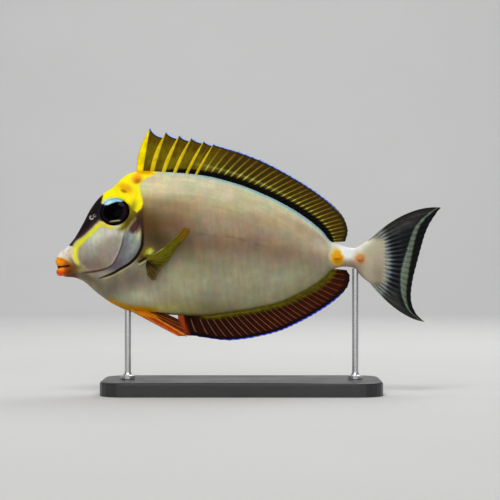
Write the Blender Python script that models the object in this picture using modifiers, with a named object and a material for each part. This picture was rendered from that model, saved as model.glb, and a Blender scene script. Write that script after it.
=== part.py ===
"""An elegant unicornfish: a still, life-size display model of a young adult on a two-rod stand.

The fish faces -X with its left side towards -Y, and its middle plane is Y = 0. Lengths are in millimetres
until placed() turns them into metres: s runs back from the tip of the snout, y runs to the fish's right, and
h runs up from the body axis, which lies AXIS_HEIGHT above the floor.
"""

import math
from dataclasses import dataclass

import bmesh
import bpy
import numpy as np
from mathutils import Matrix, Quaternion, Vector

MM = 0.001
GAP = 0.3
TOTAL_LENGTH = 221.5
AXIS_HEIGHT = 78.0
LEFT, RIGHT = -1, 1

# The body's side outline and girth, each as (s, value), with value a height h or a half-width.
BACK = [
    (0.0, -1.5), (1.5, 1.4), (6.0, 5.2), (10.6, 10.4), (19.8, 25.0), (24.4, 32.2), (29.0, 37.4), (34.0, 40.9),
    (38.2, 45.2), (43.0, 48.3), (49.0, 49.6), (66.0, 48.9), (84.0, 47.2), (102.6, 42.8), (121.0, 35.7),
    (139.4, 25.9), (153.8, 14.7), (158.4, 9.2), (164.0, 7.0), (171.6, 5.3), (176.2, 7.4), (181.0, 10.5),
]
BELLY = [
    (0.0, -6.5), (1.5, -9.2), (6.0, -11.2), (10.6, -11.6), (15.2, -13.2), (24.4, -20.7), (33.6, -27.0),
    (43.0, -31.0), (56.6, -32.4), (84.0, -33.6), (100.0, -31.9), (119.0, -28.8), (131.0, -25.4),
    (140.6, -20.8), (148.0, -16.8), (155.0, -11.2), (158.8, -7.2), (166.0, -5.4), (171.0, -5.8),
    (176.2, -11.2), (181.0, -15.0),
]
HALF_WIDTH = [
    (0.0, 1.8), (1.5, 3.3), (4.0, 4.7), (8.0, 5.5), (12.0, 6.3), (20.0, 8.5), (29.0, 11.0), (36.0, 12.8),
    (47.0, 15.0), (60.0, 16.3), (75.0, 16.5), (93.0, 15.6), (112.0, 13.3), (130.0, 10.3), (145.0, 7.3),
    (155.0, 5.4), (162.0, 4.6), (171.0, 4.0), (181.0, 2.7),
]
WIDEST_HEIGHT = [(0.0, -4.0), (6.0, -3.5), (15.0, 0.0), (25.0, 5.0), (35.0, 8.0), (50.0, 6.0), (80.0, 4.0),
                 (120.0, 2.0), (160.0, 0.5), (181.0, -2.2)]
EDGE_SHARPNESS = [(0.0, 1.0), (35.0, 0.95), (60.0, 1.12), (150.0, 1.15), (181.0, 1.0)]
SNOUT_STATIONS = (0.0, 0.7, 1.8, 3.5, 6.0, 9.0, 12.0, 15.5)
TRUNK_STEP = 4.3
TAIL_STEP = 2.8
BODY_END = 181.0
RING_STEPS = 13

# Where the body is parted.
GILL_LINE = [
    (46.0, 60.0), (48.6, 42.0), (50.0, 32.8), (49.6, 24.2), (49.8, 15.5), (49.4, 8.1), (46.9, 2.9),
    (42.8, -1.7), (37.1, -6.3), (30.2, -10.4), (24.4, -13.6), (14.0, -22.0),
]
MOUTH_FRONT = [(0.9, 20.0), (0.9, -0.6), (3.4, -2.7), (4.6, -7.4), (3.6, -10.2), (3.6, -20.0)]
TAIL_CUT = 158.9

# The head's features.
EYE_CENTRE = (34.6, 25.0)
EYE_RADIUS = 7.7
EYE_HALF_DEPTH = 3.3
EYE_SINK = 1.4
NOSTRILS = [(21.6, 22.4, 0.85), (23.6, 24.6, 0.65)]
NOSTRIL_DEPTH = 1.6
LIP_CORNER = (8.6, 3.9)
UPPER_LIP = {"front": (2.4, -2.95), "corner_h": -3.75, "radius": 2.4}
LOWER_LIP = {"front": (3.7, -8.2), "corner_h": -5.95, "radius": 2.15}
LIP_CORNER_RADIUS = 0.9
MOUTH_SLIT = [(-2.0, -3.4), (5.0, -3.9), (7.4, -4.55), (8.7, -4.85), (7.4, -5.25), (5.0, -7.1), (-2.0, -8.0)]
# Rows across the gill cover from its top to the throat, each as (front s, front h, rear s, rear h).
GILL_COVER = [
    (47.6, 26.4, 49.0, 27.2), (45.2, 20.0, 50.4, 20.6), (43.6, 14.6, 50.6, 14.4), (41.4, 9.6, 50.2, 8.1),
    (39.2, 5.2, 47.8, 2.9), (36.2, 0.4, 43.6, -1.7), (32.8, -3.9, 37.8, -6.3), (28.8, -6.4, 31.6, -9.8),
    (24.4, -8.3, 26.2, -11.8), (19.6, -10.2, 20.8, -13.2),
]
GILL_COVER_INNER, GILL_COVER_OUTER = (-0.6, 0.38), (0.1, 1.2)
GILL_COVER_STEPS = 14

# The fins. Each row is (root s, tip s, tip h) of one ray, and the rays between rows follow smoothly.
DORSAL_SPINES, DORSAL_SOFT_RAYS = 6, 29
DORSAL_SPINE_ROOTS = (48.6, 55.5, 62.1, 68.4, 75.3, 80.6)
DORSAL_TIPS = [(48.0, 53.8, 74.6), (55.5, 63.8, 72.3), (62.1, 71.6, 70.4), (75.3, 85.7, 67.1),
               (86.0, 95.5, 64.0), (102.0, 113.3, 58.4), (117.6, 133.7, 48.2), (141.2, 155.5, 32.8),
               (151.5, 165.0, 21.9), (158.0, 166.8, 11.0)]
ANAL_SPINES, ANAL_SOFT_RAYS = 2, 28
ANAL_SPINE_ROOTS = (72.2, 77.4)
ANAL_TIPS = [(71.7, 75.4, -45.2), (77.3, 82.8, -45.8), (92.3, 100.3, -47.9), (103.0, 113.5, -46.2),
             (111.3, 127.4, -43.0), (124.5, 144.0, -35.5), (138.9, 159.0, -25.9), (148.1, 166.6, -17.2),
             (158.2, 167.6, -9.6)]
SOFT_RAY_CROWDING = 1.3

# A ray stands above the membrane by its height in all, and beyond it by its free tip.
MEMBRANE = (0.7, 0.5)
SPINE_WIDTHS, SPINE_HEIGHTS, SPINE_FREE_TIP, SPINE_BOW = (2.3, 0.7), (1.6, 0.4), 0.9, 2.0
RAY_WIDTHS, RAY_HEIGHTS, RAY_FREE_TIP, SOFT_RAY_BOW = (1.0, 0.7), (0.7, 0.3), 0.25, 0.5
ROOT_FADE = 2.5

CAUDAL_RAYS = 18
CAUDAL_MARGIN = [(0.0, 221.4, 28.2), (0.08, 217.6, 23.2), (0.2, 213.4, 15.6), (0.36, 210.4, 6.0),
                 (0.5, 208.0, -3.0), (0.64, 205.6, -12.5), (0.8, 204.4, -23.0), (0.92, 206.6, -31.4),
                 (1.0, 211.9, -36.8)]
CAUDAL_BOW = (5.0, -4.0)
CAUDAL_HEIGHTS = (0.3, 0.35)

PECTORAL_ROOTS = ((55.6, 4.2), (52.6, -4.0))
PECTORAL_MARGIN = [(0.0, 77.9, 16.7), (0.12, 77.4, 12.9), (0.3, 72.6, 7.6), (0.5, 67.4, 1.2),
                   (0.7, 63.4, -5.6), (0.88, 60.0, -11.8), (1.0, 55.8, -14.0)]
PECTORAL_RAYS = 13
PECTORAL_SPREAD, PECTORAL_BOW = 0.36, 0.8
PECTORAL_KNOB = (2.6, 1.9, 5.2)

PELVIC_RAYS = [((51.2, -32.6), (70.6, -44.9)), ((52.2, -32.2), (75.4, -46.2)), ((53.2, -31.9), (74.4, -42.6)),
               ((54.2, -31.6), (71.4, -39.0))]
PELVIC_ROOT_Y, PELVIC_TIP_Y = 2.7, 7.0
PELVIC_KNOB = (3.4, 1.7, 2.2)

# The tail blades, as (s, h, half-length, half-height, keel's reach).
TAIL_BLADES = {"front": (162.4, -0.5, 2.8, 3.6, 2.9), "rear": (175.4, -1.4, 2.3, 2.9, 2.3)}
BLADE_PLATE_DEPTH = 1.1
KEEL_LENGTH, KEEL_LEAN, KEEL_HALF_THICKNESS = 0.8, 0.75, 0.6

# The stand.
BASE_SIZE = (160.0, 64.0, 8.0)
BASE_CORNER, BASE_EDGE = 14.0, 1.2
ROD_RADIUS = 1.8
ROD_FOOT_RADIUS, ROD_FOOT_HEIGHT = 4.2, 1.6
ROD_PLACES = {"front": 41.7, "rear": 172.4}
ROD_OVERRUN = 8.0

COLOURS = {
    "body_grey": ((0.45, 0.40, 0.33), 0.45, 0.0),
    "head_mask": ((0.42, 0.36, 0.30), 0.45, 0.0),
    "tail_white": ((0.75, 0.72, 0.66), 0.45, 0.0),
    "lip_orange": ((0.85, 0.25, 0.03), 0.4, 0.0),
    "eye_black": ((0.01, 0.01, 0.012), 0.08, 0.0),
    "fin_yellow": ((0.40, 0.28, 0.03), 0.5, 0.0),
    "fin_rust": ((0.25, 0.08, 0.02), 0.5, 0.0),
    "fin_smoke": ((0.22, 0.22, 0.21), 0.5, 0.0),
    "fin_olive": ((0.28, 0.26, 0.05), 0.5, 0.0),
    "blade_orange": ((0.80, 0.38, 0.02), 0.35, 0.0),
    "stand_black": ((0.02, 0.02, 0.022), 0.4, 0.0),
    "stand_steel": ((0.6, 0.6, 0.6), 0.3, 1.0),
}


def smooth_line(knots):
    """A curve through the knots that never overshoots them."""
    x, y = np.array(knots, float).T
    step, slope = np.diff(x), np.diff(y) / np.diff(x)
    tangent = np.zeros_like(x)
    tangent[0], tangent[-1] = slope[0], slope[-1]
    for i in range(1, len(x) - 1):
        if slope[i - 1] * slope[i] > 0:
            before, after = 2 * step[i] + step[i - 1], step[i] + 2 * step[i - 1]
            tangent[i] = (before + after) / (before / slope[i - 1] + after / slope[i])

    def at(s):
        i = int(np.clip(np.searchsorted(x, s) - 1, 0, len(step) - 1))
        t = min(max((s - x[i]) / step[i], 0.0), 1.0)
        leave, arrive = tangent[i] * step[i], tangent[i + 1] * step[i]
        rise = y[i + 1] - y[i]
        bend, turn = 3 * rise - 2 * leave - arrive, leave + arrive - 2 * rise
        return float(y[i] + leave * t + bend * t**2 + turn * t**3)

    return at


back, belly, girth = smooth_line(BACK), smooth_line(BELLY), smooth_line(HALF_WIDTH)
widest_height, sharpness = smooth_line(WIDEST_HEIGHT), smooth_line(EDGE_SHARPNESS)


def placed(s, y, h):
    """A point of the fish in the world, in metres."""
    return Vector((s - TOTAL_LENGTH / 2, y, h + AXIS_HEIGHT)) * MM


def half_width(s, h):
    """The flank's distance from the middle plane."""
    middle = widest_height(s)
    reach = (back(s) if h > middle else belly(s)) - middle
    share = min(abs((h - middle) / reach), 1.0)
    return girth(s) * (1 - share**2) ** (sharpness(s) / 2)


def flank_normal(s, h):
    """The direction away from the right flank, as (s, y, h)."""
    step = 0.5
    along = (half_width(s + step, h) - half_width(s - step, h)) / (2 * step)
    up = (half_width(s, h + step) - half_width(s, h - step)) / (2 * step)
    return Vector((-along, 1.0, -up)).normalized()


def material(name):
    colour, roughness, metallic = COLOURS[name]
    made = bpy.data.materials.get(name)
    if made is None:
        made = bpy.data.materials.new(name)
        made.use_nodes = True
        shader = made.node_tree.nodes["Principled BSDF"]
        shader.inputs["Base Color"].default_value = (*colour, 1)
        shader.inputs["Roughness"].default_value = roughness
        shader.inputs["Metallic"].default_value = metallic
    return made


def collection(name, hidden=False):
    made = bpy.data.collections.new(name)
    bpy.context.scene.collection.children.link(made)
    made.hide_render = hidden
    return made


def solid_from(name, shape, home):
    """Links a new object that holds the bmesh, with its faces turned out and its edges smooth."""
    bmesh.ops.remove_doubles(shape, verts=shape.verts, dist=1e-7)
    bmesh.ops.recalc_face_normals(shape, faces=shape.faces)
    mesh = bpy.data.meshes.new(name)
    shape.to_mesh(mesh)
    shape.free()
    made = bpy.data.objects.new(name, mesh)
    home.objects.link(made)
    return made


def finished(made, colour, smooth_angle=40.0):
    made.data.materials.clear()
    made.data.materials.append(material(colour))
    made.data.shade_smooth()
    made.data.set_sharp_from_angle(angle=math.radians(smooth_angle))
    return made


def largest_piece(made):
    """Keeps only the largest closed surface of a mesh object."""
    shape = bmesh.new()
    shape.from_mesh(made.data)
    left, pieces = set(shape.verts), []
    while left:
        piece, todo = set(), [left.pop()]
        while todo:
            vertex = todo.pop()
            piece.add(vertex)
            near = {edge.other_vert(vertex) for edge in vertex.link_edges} & left
            left -= near
            todo.extend(near)
        pieces.append(piece)
    pieces.sort(key=len)
    bmesh.ops.delete(shape, geom=[vertex for piece in pieces[:-1] for vertex in piece], context="VERTS")
    shape.to_mesh(made.data)
    shape.free()
    return made


def applied(made):
    """Turns an object's modifiers, or its curve, into a plain mesh in world space."""
    graph = bpy.context.evaluated_depsgraph_get()
    mesh = bpy.data.meshes.new_from_object(made.evaluated_get(graph))
    mesh.transform(made.matrix_world)
    shape = bmesh.new()
    shape.from_mesh(mesh)
    name, home = made.name, made.users_collection[0]
    bpy.data.objects.remove(made)
    return solid_from(name, shape, home)


def carved(made, cutter, operation="DIFFERENCE"):
    """The object after one Boolean, with the cutter removed."""
    cut = made.modifiers.new("carve", "BOOLEAN")
    cut.operation, cut.object, cut.solver = operation, cutter, "EXACT"
    bpy.context.view_layer.update()
    made = applied(made)
    bpy.data.objects.remove(cutter)
    return made


def body_loft(name, grow, home):
    """The whole body from snout to tail base, a loft through rings that share one formula."""
    first_trunk = SNOUT_STATIONS[-1] + TRUNK_STEP
    stations = [*SNOUT_STATIONS, *np.arange(first_trunk, TAIL_CUT - 1, TRUNK_STEP)]
    stations += list(np.linspace(TAIL_CUT, BODY_END, round((BODY_END - TAIL_CUT) / TAIL_STEP) + 1))
    shape, rings = bmesh.new(), []
    for s in stations:
        top, middle, bottom = back(s) + grow, widest_height(s), belly(s) - grow
        angles = np.linspace(-math.pi / 2, math.pi / 2, RING_STEPS + 1)
        right = []
        for angle in angles:
            reach = top - middle if angle > 0 else middle - bottom
            width = (girth(s) + grow) * max(math.cos(angle), 0.0) ** sharpness(s)
            right.append((width, middle + reach * math.sin(angle)))
        outline = right + [(-width, h) for width, h in right[-2:0:-1]]
        rings.append([shape.verts.new(placed(s, y, h)) for y, h in outline])
    for ring, following in zip(rings, rings[1:]):
        for i in range(len(ring)):
            j = (i + 1) % len(ring)
            shape.faces.new((ring[i], ring[j], following[j], following[i]))
    shape.faces.new(rings[0])
    shape.faces.new(rings[-1])
    return solid_from(name, shape, home)


def side_prism(name, outline, home, half_depth=30.0):
    """A side outline made as deep as the fish is wide, from a flat curve."""
    curve = bpy.data.curves.new(name, "CURVE")
    curve.dimensions, curve.fill_mode, curve.extrude = "2D", "BOTH", half_depth * MM
    spline = curve.splines.new("POLY")
    spline.points.add(len(outline) - 1)
    for point, (s, h) in zip(spline.points, outline):
        x, _, z = placed(s, 0, h)
        point.co = (x, z, 0, 1)
    spline.use_cyclic_u = True
    made = bpy.data.objects.new(name, curve)
    made.matrix_world = Matrix.Rotation(math.pi / 2, 4, "X")
    home.objects.link(made)
    bpy.context.view_layer.update()
    return applied(made)


def ellipsoid(name, centre, sizes, home, turn=None, columns=20, rows=10):
    """An ellipsoid with its half-sizes along s, y and h, turned by a quaternion."""
    shape = bmesh.new()
    bmesh.ops.create_uvsphere(shape, u_segments=columns, v_segments=rows, radius=1.0)
    shape.transform(Matrix.Rotation(math.pi / 2, 4, "X"))
    shape.transform(Matrix.Diagonal((*[size * MM for size in sizes], 1)))
    if turn is not None:
        shape.transform(turn.to_matrix().to_4x4())
    shape.transform(Matrix.Translation(placed(*centre)))
    return solid_from(name, shape, home)


def eyeball(name, side, grow, home):
    """A flattened eyeball whose axis is square to the head where it sits."""
    s, h = EYE_CENTRE
    out = flank_normal(s, h)
    out.y *= side
    surface = Vector((s, side * half_width(s, h), h))
    centre = surface - out * EYE_SINK
    turn = Vector((0, side, 0)).rotation_difference(out)
    sizes = (EYE_RADIUS + grow, EYE_HALF_DEPTH + grow, EYE_RADIUS + grow)
    return ellipsoid(name, centre, sizes, home, turn, 20, 10)


def nostril_pit(name, side, s, h, radius, home):
    out = flank_normal(s, h)
    out.y *= side
    centre = Vector((s, side * half_width(s, h), h))
    shape = bmesh.new()
    bmesh.ops.create_cone(shape, cap_ends=True, segments=10, radius1=radius * 0.6 * MM, radius2=radius * MM,
                          depth=2 * NOSTRIL_DEPTH * MM)
    shape.transform(Vector((0, 0, 1)).rotation_difference(out).to_matrix().to_4x4())
    shape.transform(Matrix.Translation(placed(*centre)))
    return solid_from(name, shape, home)


def lip_roll(name, lip, grow, home):
    """A lip as a roll that runs from one corner of the mouth round the front to the other."""
    (front_s, front_h), (corner_s, corner_y) = lip["front"], LIP_CORNER
    curve = bpy.data.curves.new(name, "CURVE")
    curve.dimensions, curve.bevel_depth, curve.bevel_resolution = "3D", MM, 4
    curve.use_fill_caps = True
    spline = curve.splines.new("POLY")
    angles = np.linspace(-math.pi / 2, math.pi / 2, 15)
    spline.points.add(len(angles) - 1)
    for point, angle in zip(spline.points, angles):
        forward = max(math.cos(angle), 0.0)
        fullness = math.sqrt(forward)
        s = corner_s - (corner_s - front_s) * forward
        h = lip["corner_h"] + (front_h - lip["corner_h"]) * fullness
        point.co = (*placed(s, corner_y * math.sin(angle), h), 1)
        point.radius = LIP_CORNER_RADIUS + (lip["radius"] - LIP_CORNER_RADIUS) * fullness + grow
    made = bpy.data.objects.new(name, curve)
    home.objects.link(made)
    bpy.context.view_layer.update()
    return applied(made)


def closed_sheet(name, near, far, home):
    """A thin closed body between two grids of points that match, split into triangles alike on both faces."""
    shape = bmesh.new()
    sides = [[[shape.verts.new(placed(*point)) for point in row] for row in grid] for grid in (near, far)]
    rows, columns = len(near), len(near[0])
    for grid in sides:
        for i in range(rows - 1):
            for j in range(columns - 1):
                shape.faces.new((grid[i][j], grid[i][j + 1], grid[i + 1][j + 1]))
                shape.faces.new((grid[i][j], grid[i + 1][j + 1], grid[i + 1][j]))
    border = [(0, j) for j in range(columns)] + [(i, columns - 1) for i in range(1, rows)]
    border += [(rows - 1, j) for j in range(columns - 2, -1, -1)] + [(i, 0) for i in range(rows - 2, 0, -1)]
    for (i, j), (k, m) in zip(border, border[1:] + border[:1]):
        shape.faces.new((sides[0][i][j], sides[0][k][m], sides[1][k][m]))
        shape.faces.new((sides[0][i][j], sides[1][k][m], sides[1][i][j]))
    return solid_from(name, shape, home)


def gill_cover(name, side, grow, home):
    """A curved plate sunk into the cheek at its front, whose free rear edge stands over the gill slit."""
    columns = [smooth_line(list(enumerate(values))) for values in zip(*GILL_COVER)]
    last = len(GILL_COVER) - 1

    def at(row, across):
        front_s, front_h, rear_s, rear_h = (column(row) for column in columns)
        return Vector((front_s + (rear_s - front_s) * across, front_h + (rear_h - front_h) * across))

    inner, outer = [], []
    for row in np.linspace(0, last, GILL_COVER_STEPS + 1):
        inner.append([])
        outer.append([])
        for across in np.linspace(0, 1, 5):
            down = (at(min(row + 0.1, last), across) - at(max(row - 0.1, 0), across)).normalized()
            rearward = Vector((-down.y, down.x))
            s, h = at(row, across) + rearward * grow * (2 * across - 1) + down * grow * (2 * row / last - 1)
            out = flank_normal(s, h)
            surface = Vector((s, half_width(s, h), h))
            for sheet, depths, sign in ((inner, GILL_COVER_INNER, -1), (outer, GILL_COVER_OUTER, 1)):
                point = surface + out * (depths[0] + (depths[1] - depths[0]) * across + grow * sign)
                sheet[-1].append((point.x, side * point.y, point.z))
    return closed_sheet(name, inner, outer, home)


def build_head(home, cutters):
    """The head with its eye sockets, its nostrils and the seats of its lips."""
    head = body_loft("head", 0.0, home)
    outline = [*MOUTH_FRONT[::-1], *GILL_LINE]
    head = carved(head, side_prism("head_region", outline, cutters), "INTERSECT")
    head = carved(head, side_prism("mouth_slit", MOUTH_SLIT, cutters))
    for lip in (UPPER_LIP, LOWER_LIP):
        head = carved(head, lip_roll("lip_seat", lip, GAP, cutters))
    for side in (LEFT, RIGHT):
        head = carved(head, gill_cover("gill_cover_seat", side, GAP, cutters))
        head = carved(head, eyeball("socket", side, GAP, cutters))
        for s, h, radius in NOSTRILS:
            head = carved(head, nostril_pit("pit", side, s, h, radius, cutters))
    return finished(largest_piece(head), "head_mask")


def build_trunk(home, cutters):
    front = [(s + GAP, h - GAP / 2) for s, h in GILL_LINE]
    outline = [*front[::-1], (TAIL_CUT, 60.0), (TAIL_CUT, -60.0), (front[-1][0], -60.0)]
    region = side_prism("trunk_region", outline, cutters)
    trunk = carved(body_loft("trunk", 0.0, home), region, "INTERSECT")
    return finished(largest_piece(trunk), "body_grey")


def build_tail_stalk(home, cutters):
    start = TAIL_CUT + GAP
    outline = [(start, 60.0), (BODY_END + 5, 60.0), (BODY_END + 5, -60.0), (start, -60.0)]
    region = side_prism("stalk_region", outline, cutters)
    stalk = carved(body_loft("tail_stalk", 0.0, home), region, "INTERSECT")
    return finished(largest_piece(stalk), "tail_white")


@dataclass
class Ray:
    """One fin ray: where it runs, its widths and heights from root to tip, and the length of its free tip."""

    root: Vector
    tip: Vector
    bow: Vector
    widths: tuple
    heights: tuple
    free: float

    def at(self, v):
        return self.root.lerp(self.tip, v) + self.bow * (4 * v * (1 - v))

    def size(self, sizes, v):
        return sizes[0] + (sizes[1] - sizes[0]) * v


def fin_web(name, rays, steps, home, root_thickness=None):
    """A fin as one sheet: each ray is a ridge of three columns, and the membrane spans from ray to ray.

    root_thickness gives the membrane's extra thickness at the root of each ray, which fades outwards.
    """
    across = (rays[-1].root - rays[0].root).cross(rays[0].tip - rays[0].root + rays[-1].tip - rays[-1].root)
    normal = across.normalized()
    near, far = [], []
    for v in np.linspace(0, 1, steps + 1):
        row = []
        for i, ray in enumerate(rays):
            extra = 0.0 if root_thickness is None else root_thickness[i] * (1 - v) ** ROOT_FADE
            membrane = MEMBRANE[0] + (MEMBRANE[1] - MEMBRANE[0]) * v + extra
            crest = ray.at(v)
            inner = min(v, 1 - ray.free / (ray.tip - ray.root).length)
            for neighbour in (i - 1, i + 1):
                inward = 1 if 0 <= neighbour < len(rays) else -1
                other = rays[neighbour if inward == 1 else 2 * i - neighbour]
                reach = other.at(v) - crest
                share = min(ray.size(ray.widths, v) / 2 / reach.length, 0.34)
                flank = ray.at(inner if inward == 1 else v) + reach * (share * inward)
                row.append((flank, membrane))
            row.insert(-1, (crest, membrane + ray.size(ray.heights, v)))
        near.append([point - normal * (thick / 2) for point, thick in row])
        far.append([point + normal * (thick / 2) for point, thick in row])
    return closed_sheet(name, near, far, home)


def soft_ray_roots(start, end, count):
    """Root places that crowd together towards the tail."""
    shares = 1 - (1 - np.linspace(0, 1, count)) ** SOFT_RAY_CROWDING
    return [start + (end - start) * share for share in shares]


def median_rays(roots, spines, tips, edge, away):
    """The rays of a fin in the middle plane, rooted a gap away from the body's edge line."""
    tip_s = smooth_line([(root, s) for root, s, h in tips])
    tip_h = smooth_line([(root, h) for root, s, h in tips])
    rays = []
    for i, s in enumerate(roots):
        root = Vector((s, 0, edge(s) + away * GAP))
        tip = Vector((tip_s(s), 0, tip_h(s)))
        if i < spines:
            bow = Vector((-SPINE_BOW * (1 - i / spines), 0, 0))
            rays.append(Ray(root, tip, bow, SPINE_WIDTHS, SPINE_HEIGHTS, SPINE_FREE_TIP))
        else:
            rays.append(Ray(root, tip, Vector((-SOFT_RAY_BOW, 0, 0)), RAY_WIDTHS, RAY_HEIGHTS, RAY_FREE_TIP))
    return rays


def build_dorsal_fin(home):
    last_spine, last_root = DORSAL_SPINE_ROOTS[-1], DORSAL_TIPS[-1][0]
    first_soft = last_spine + 5.4
    roots = [*DORSAL_SPINE_ROOTS, *soft_ray_roots(first_soft, last_root, DORSAL_SOFT_RAYS)]
    rays = median_rays(roots, DORSAL_SPINES, DORSAL_TIPS, back, 1)
    return finished(fin_web("dorsal_fin", rays, 4, home), "fin_yellow")


def build_anal_fin(home):
    last_spine, last_root = ANAL_SPINE_ROOTS[-1], ANAL_TIPS[-1][0]
    first_soft = last_spine + 4.6
    roots = [*ANAL_SPINE_ROOTS, *soft_ray_roots(first_soft, last_root, ANAL_SOFT_RAYS)]
    rays = median_rays(roots, ANAL_SPINES, ANAL_TIPS, belly, -1)
    return finished(fin_web("anal_fin", rays, 4, home), "fin_rust")


def build_caudal_fin(home):
    """The tail fin, whose root is as thick as the tail stalk that carries it."""
    tip_s = smooth_line([(u, s) for u, s, h in CAUDAL_MARGIN])
    tip_h = smooth_line([(u, h) for u, s, h in CAUDAL_MARGIN])
    root_s, top, bottom = BODY_END + GAP, back(BODY_END), belly(BODY_END)
    rays, thickness = [], []
    for u in np.linspace(0, 1, CAUDAL_RAYS):
        h = top + (bottom - top) * u
        bow = (CAUDAL_BOW[0] * (1 - u) + CAUDAL_BOW[1] * u) * abs(2 * u - 1) ** 1.5
        root, tip = Vector((root_s, 0, h)), Vector((tip_s(u), 0, tip_h(u)))
        rays.append(Ray(root, tip, Vector((0, 0, bow)), RAY_WIDTHS, CAUDAL_HEIGHTS, RAY_FREE_TIP))
        thickness.append(max(2 * half_width(BODY_END, h) - MEMBRANE[0], 0.0))
    return finished(fin_web("caudal_fin", rays, 6, home, thickness), "fin_smoke")


def build_pectoral_fin(side, name, home, cutters):
    """A fan of rays from a fleshy knob on the flank, standing a little away from the body."""
    tip_s = smooth_line([(u, s) for u, s, h in PECTORAL_MARGIN])
    tip_h = smooth_line([(u, h) for u, s, h in PECTORAL_MARGIN])
    (top_s, top_h), (low_s, low_h) = PECTORAL_ROOTS
    rays = []
    for u in np.linspace(0, 1, PECTORAL_RAYS):
        s, h = top_s + (low_s - top_s) * u, top_h + (low_h - top_h) * u
        root = Vector((s, side * (half_width(s, h) + 0.5), h))
        reach = math.hypot(tip_s(u) - s, tip_h(u) - h)
        tip = Vector((tip_s(u), side * (half_width(s, h) + 0.5 + PECTORAL_SPREAD * reach), tip_h(u)))
        bow = Vector((0, side * PECTORAL_BOW, 0))
        rays.append(Ray(root, tip, bow, RAY_WIDTHS, RAY_HEIGHTS, RAY_FREE_TIP))
    fin = fin_web(name, rays, 4, home)
    s, h = (top_s + low_s) / 2, (top_h + low_h) / 2
    slant = Quaternion((0, 1, 0), math.atan2(top_s - low_s, top_h - low_h))
    knob = ellipsoid("knob", (s, side * half_width(s, h), h), PECTORAL_KNOB, cutters, slant, 14, 8)
    fin = carved(fin, knob, "UNION")
    fin = carved(fin, body_loft("flank", GAP, cutters))
    return finished(largest_piece(fin), "fin_olive")


def build_pelvic_fin(side, name, home, cutters):
    """A narrow folded fin: one spine and three rays from a small knob under the belly."""
    rays = []
    for i, ((root_s, root_h), (tip_s, tip_h)) in enumerate(PELVIC_RAYS):
        root = Vector((root_s, side * PELVIC_ROOT_Y, root_h))
        tip = Vector((tip_s, side * PELVIC_TIP_Y, tip_h))
        heights = SPINE_HEIGHTS if i == 0 else RAY_HEIGHTS
        rays.append(Ray(root, tip, Vector((0, 0, 0)), RAY_WIDTHS, heights, RAY_FREE_TIP))
    fin = fin_web(name, rays, 4, home)
    centre = (PELVIC_RAYS[1][0][0] + 0.4, side * PELVIC_ROOT_Y, PELVIC_RAYS[1][0][1])
    fin = carved(fin, ellipsoid("knob", centre, PELVIC_KNOB, cutters, None, 12, 8), "UNION")
    fin = carved(fin, body_loft("belly", GAP, cutters))
    return finished(largest_piece(fin), "lip_orange")


def build_tail_blade(side, name, sizes, home, cutters):
    """A bony plate on the tail stalk with a thin keel that hooks forward."""
    s, h, half_length, half_height, reach = sizes
    y = side * half_width(s, h)
    blade = ellipsoid(name, (s, y, h), (half_length, BLADE_PLATE_DEPTH, half_height), home, None, 16, 8)
    keel = bmesh.new()
    bmesh.ops.create_cone(keel, cap_ends=True, segments=12, radius1=1.0, radius2=0.1, depth=1.0)
    keel.transform(Matrix.Translation((0, 0, 0.5)))
    lean = KEEL_LEAN * reach
    keel.transform(Matrix(((KEEL_LENGTH * half_length, 0, -lean, 0), (0, 0, side * reach, 0),
                           (0, KEEL_HALF_THICKNESS, 0, 0), (0, 0, 0, 1))))
    keel.transform(Matrix.Scale(MM, 4))
    keel.transform(Matrix.Translation(placed(s, y + side * 0.3, h)))
    blade = carved(blade, solid_from("keel", keel, cutters), "UNION")
    blade = carved(blade, body_loft("stalk", GAP, cutters))
    return finished(largest_piece(blade), "blade_orange")


def build_stand_base(home):
    """A flat slab with round corners and a rounded upper rim, centred between the rods."""
    centre = placed(sum(ROD_PLACES.values()) / 2, 0, BASE_SIZE[2] / 2 - AXIS_HEIGHT)
    shape = bmesh.new()
    bmesh.ops.create_cube(shape, size=1.0)
    shape.transform(Matrix.Diagonal((*[size * MM for size in BASE_SIZE], 1)))
    shape.transform(Matrix.Translation(centre))
    upright = [edge for edge in shape.edges if abs(edge.verts[0].co.z - edge.verts[1].co.z) > MM]
    bmesh.ops.bevel(shape, geom=upright, offset=BASE_CORNER * MM, segments=6, profile=0.5, affect="EDGES")
    top = max(vertex.co.z for vertex in shape.verts)
    rim = [edge for edge in shape.edges if min(vertex.co.z for vertex in edge.verts) > top - 0.1 * MM]
    bmesh.ops.bevel(shape, geom=rim, offset=BASE_EDGE * MM, segments=2, profile=0.5, affect="EDGES")
    return finished(solid_from("stand_base", shape, home), "stand_black")


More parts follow.
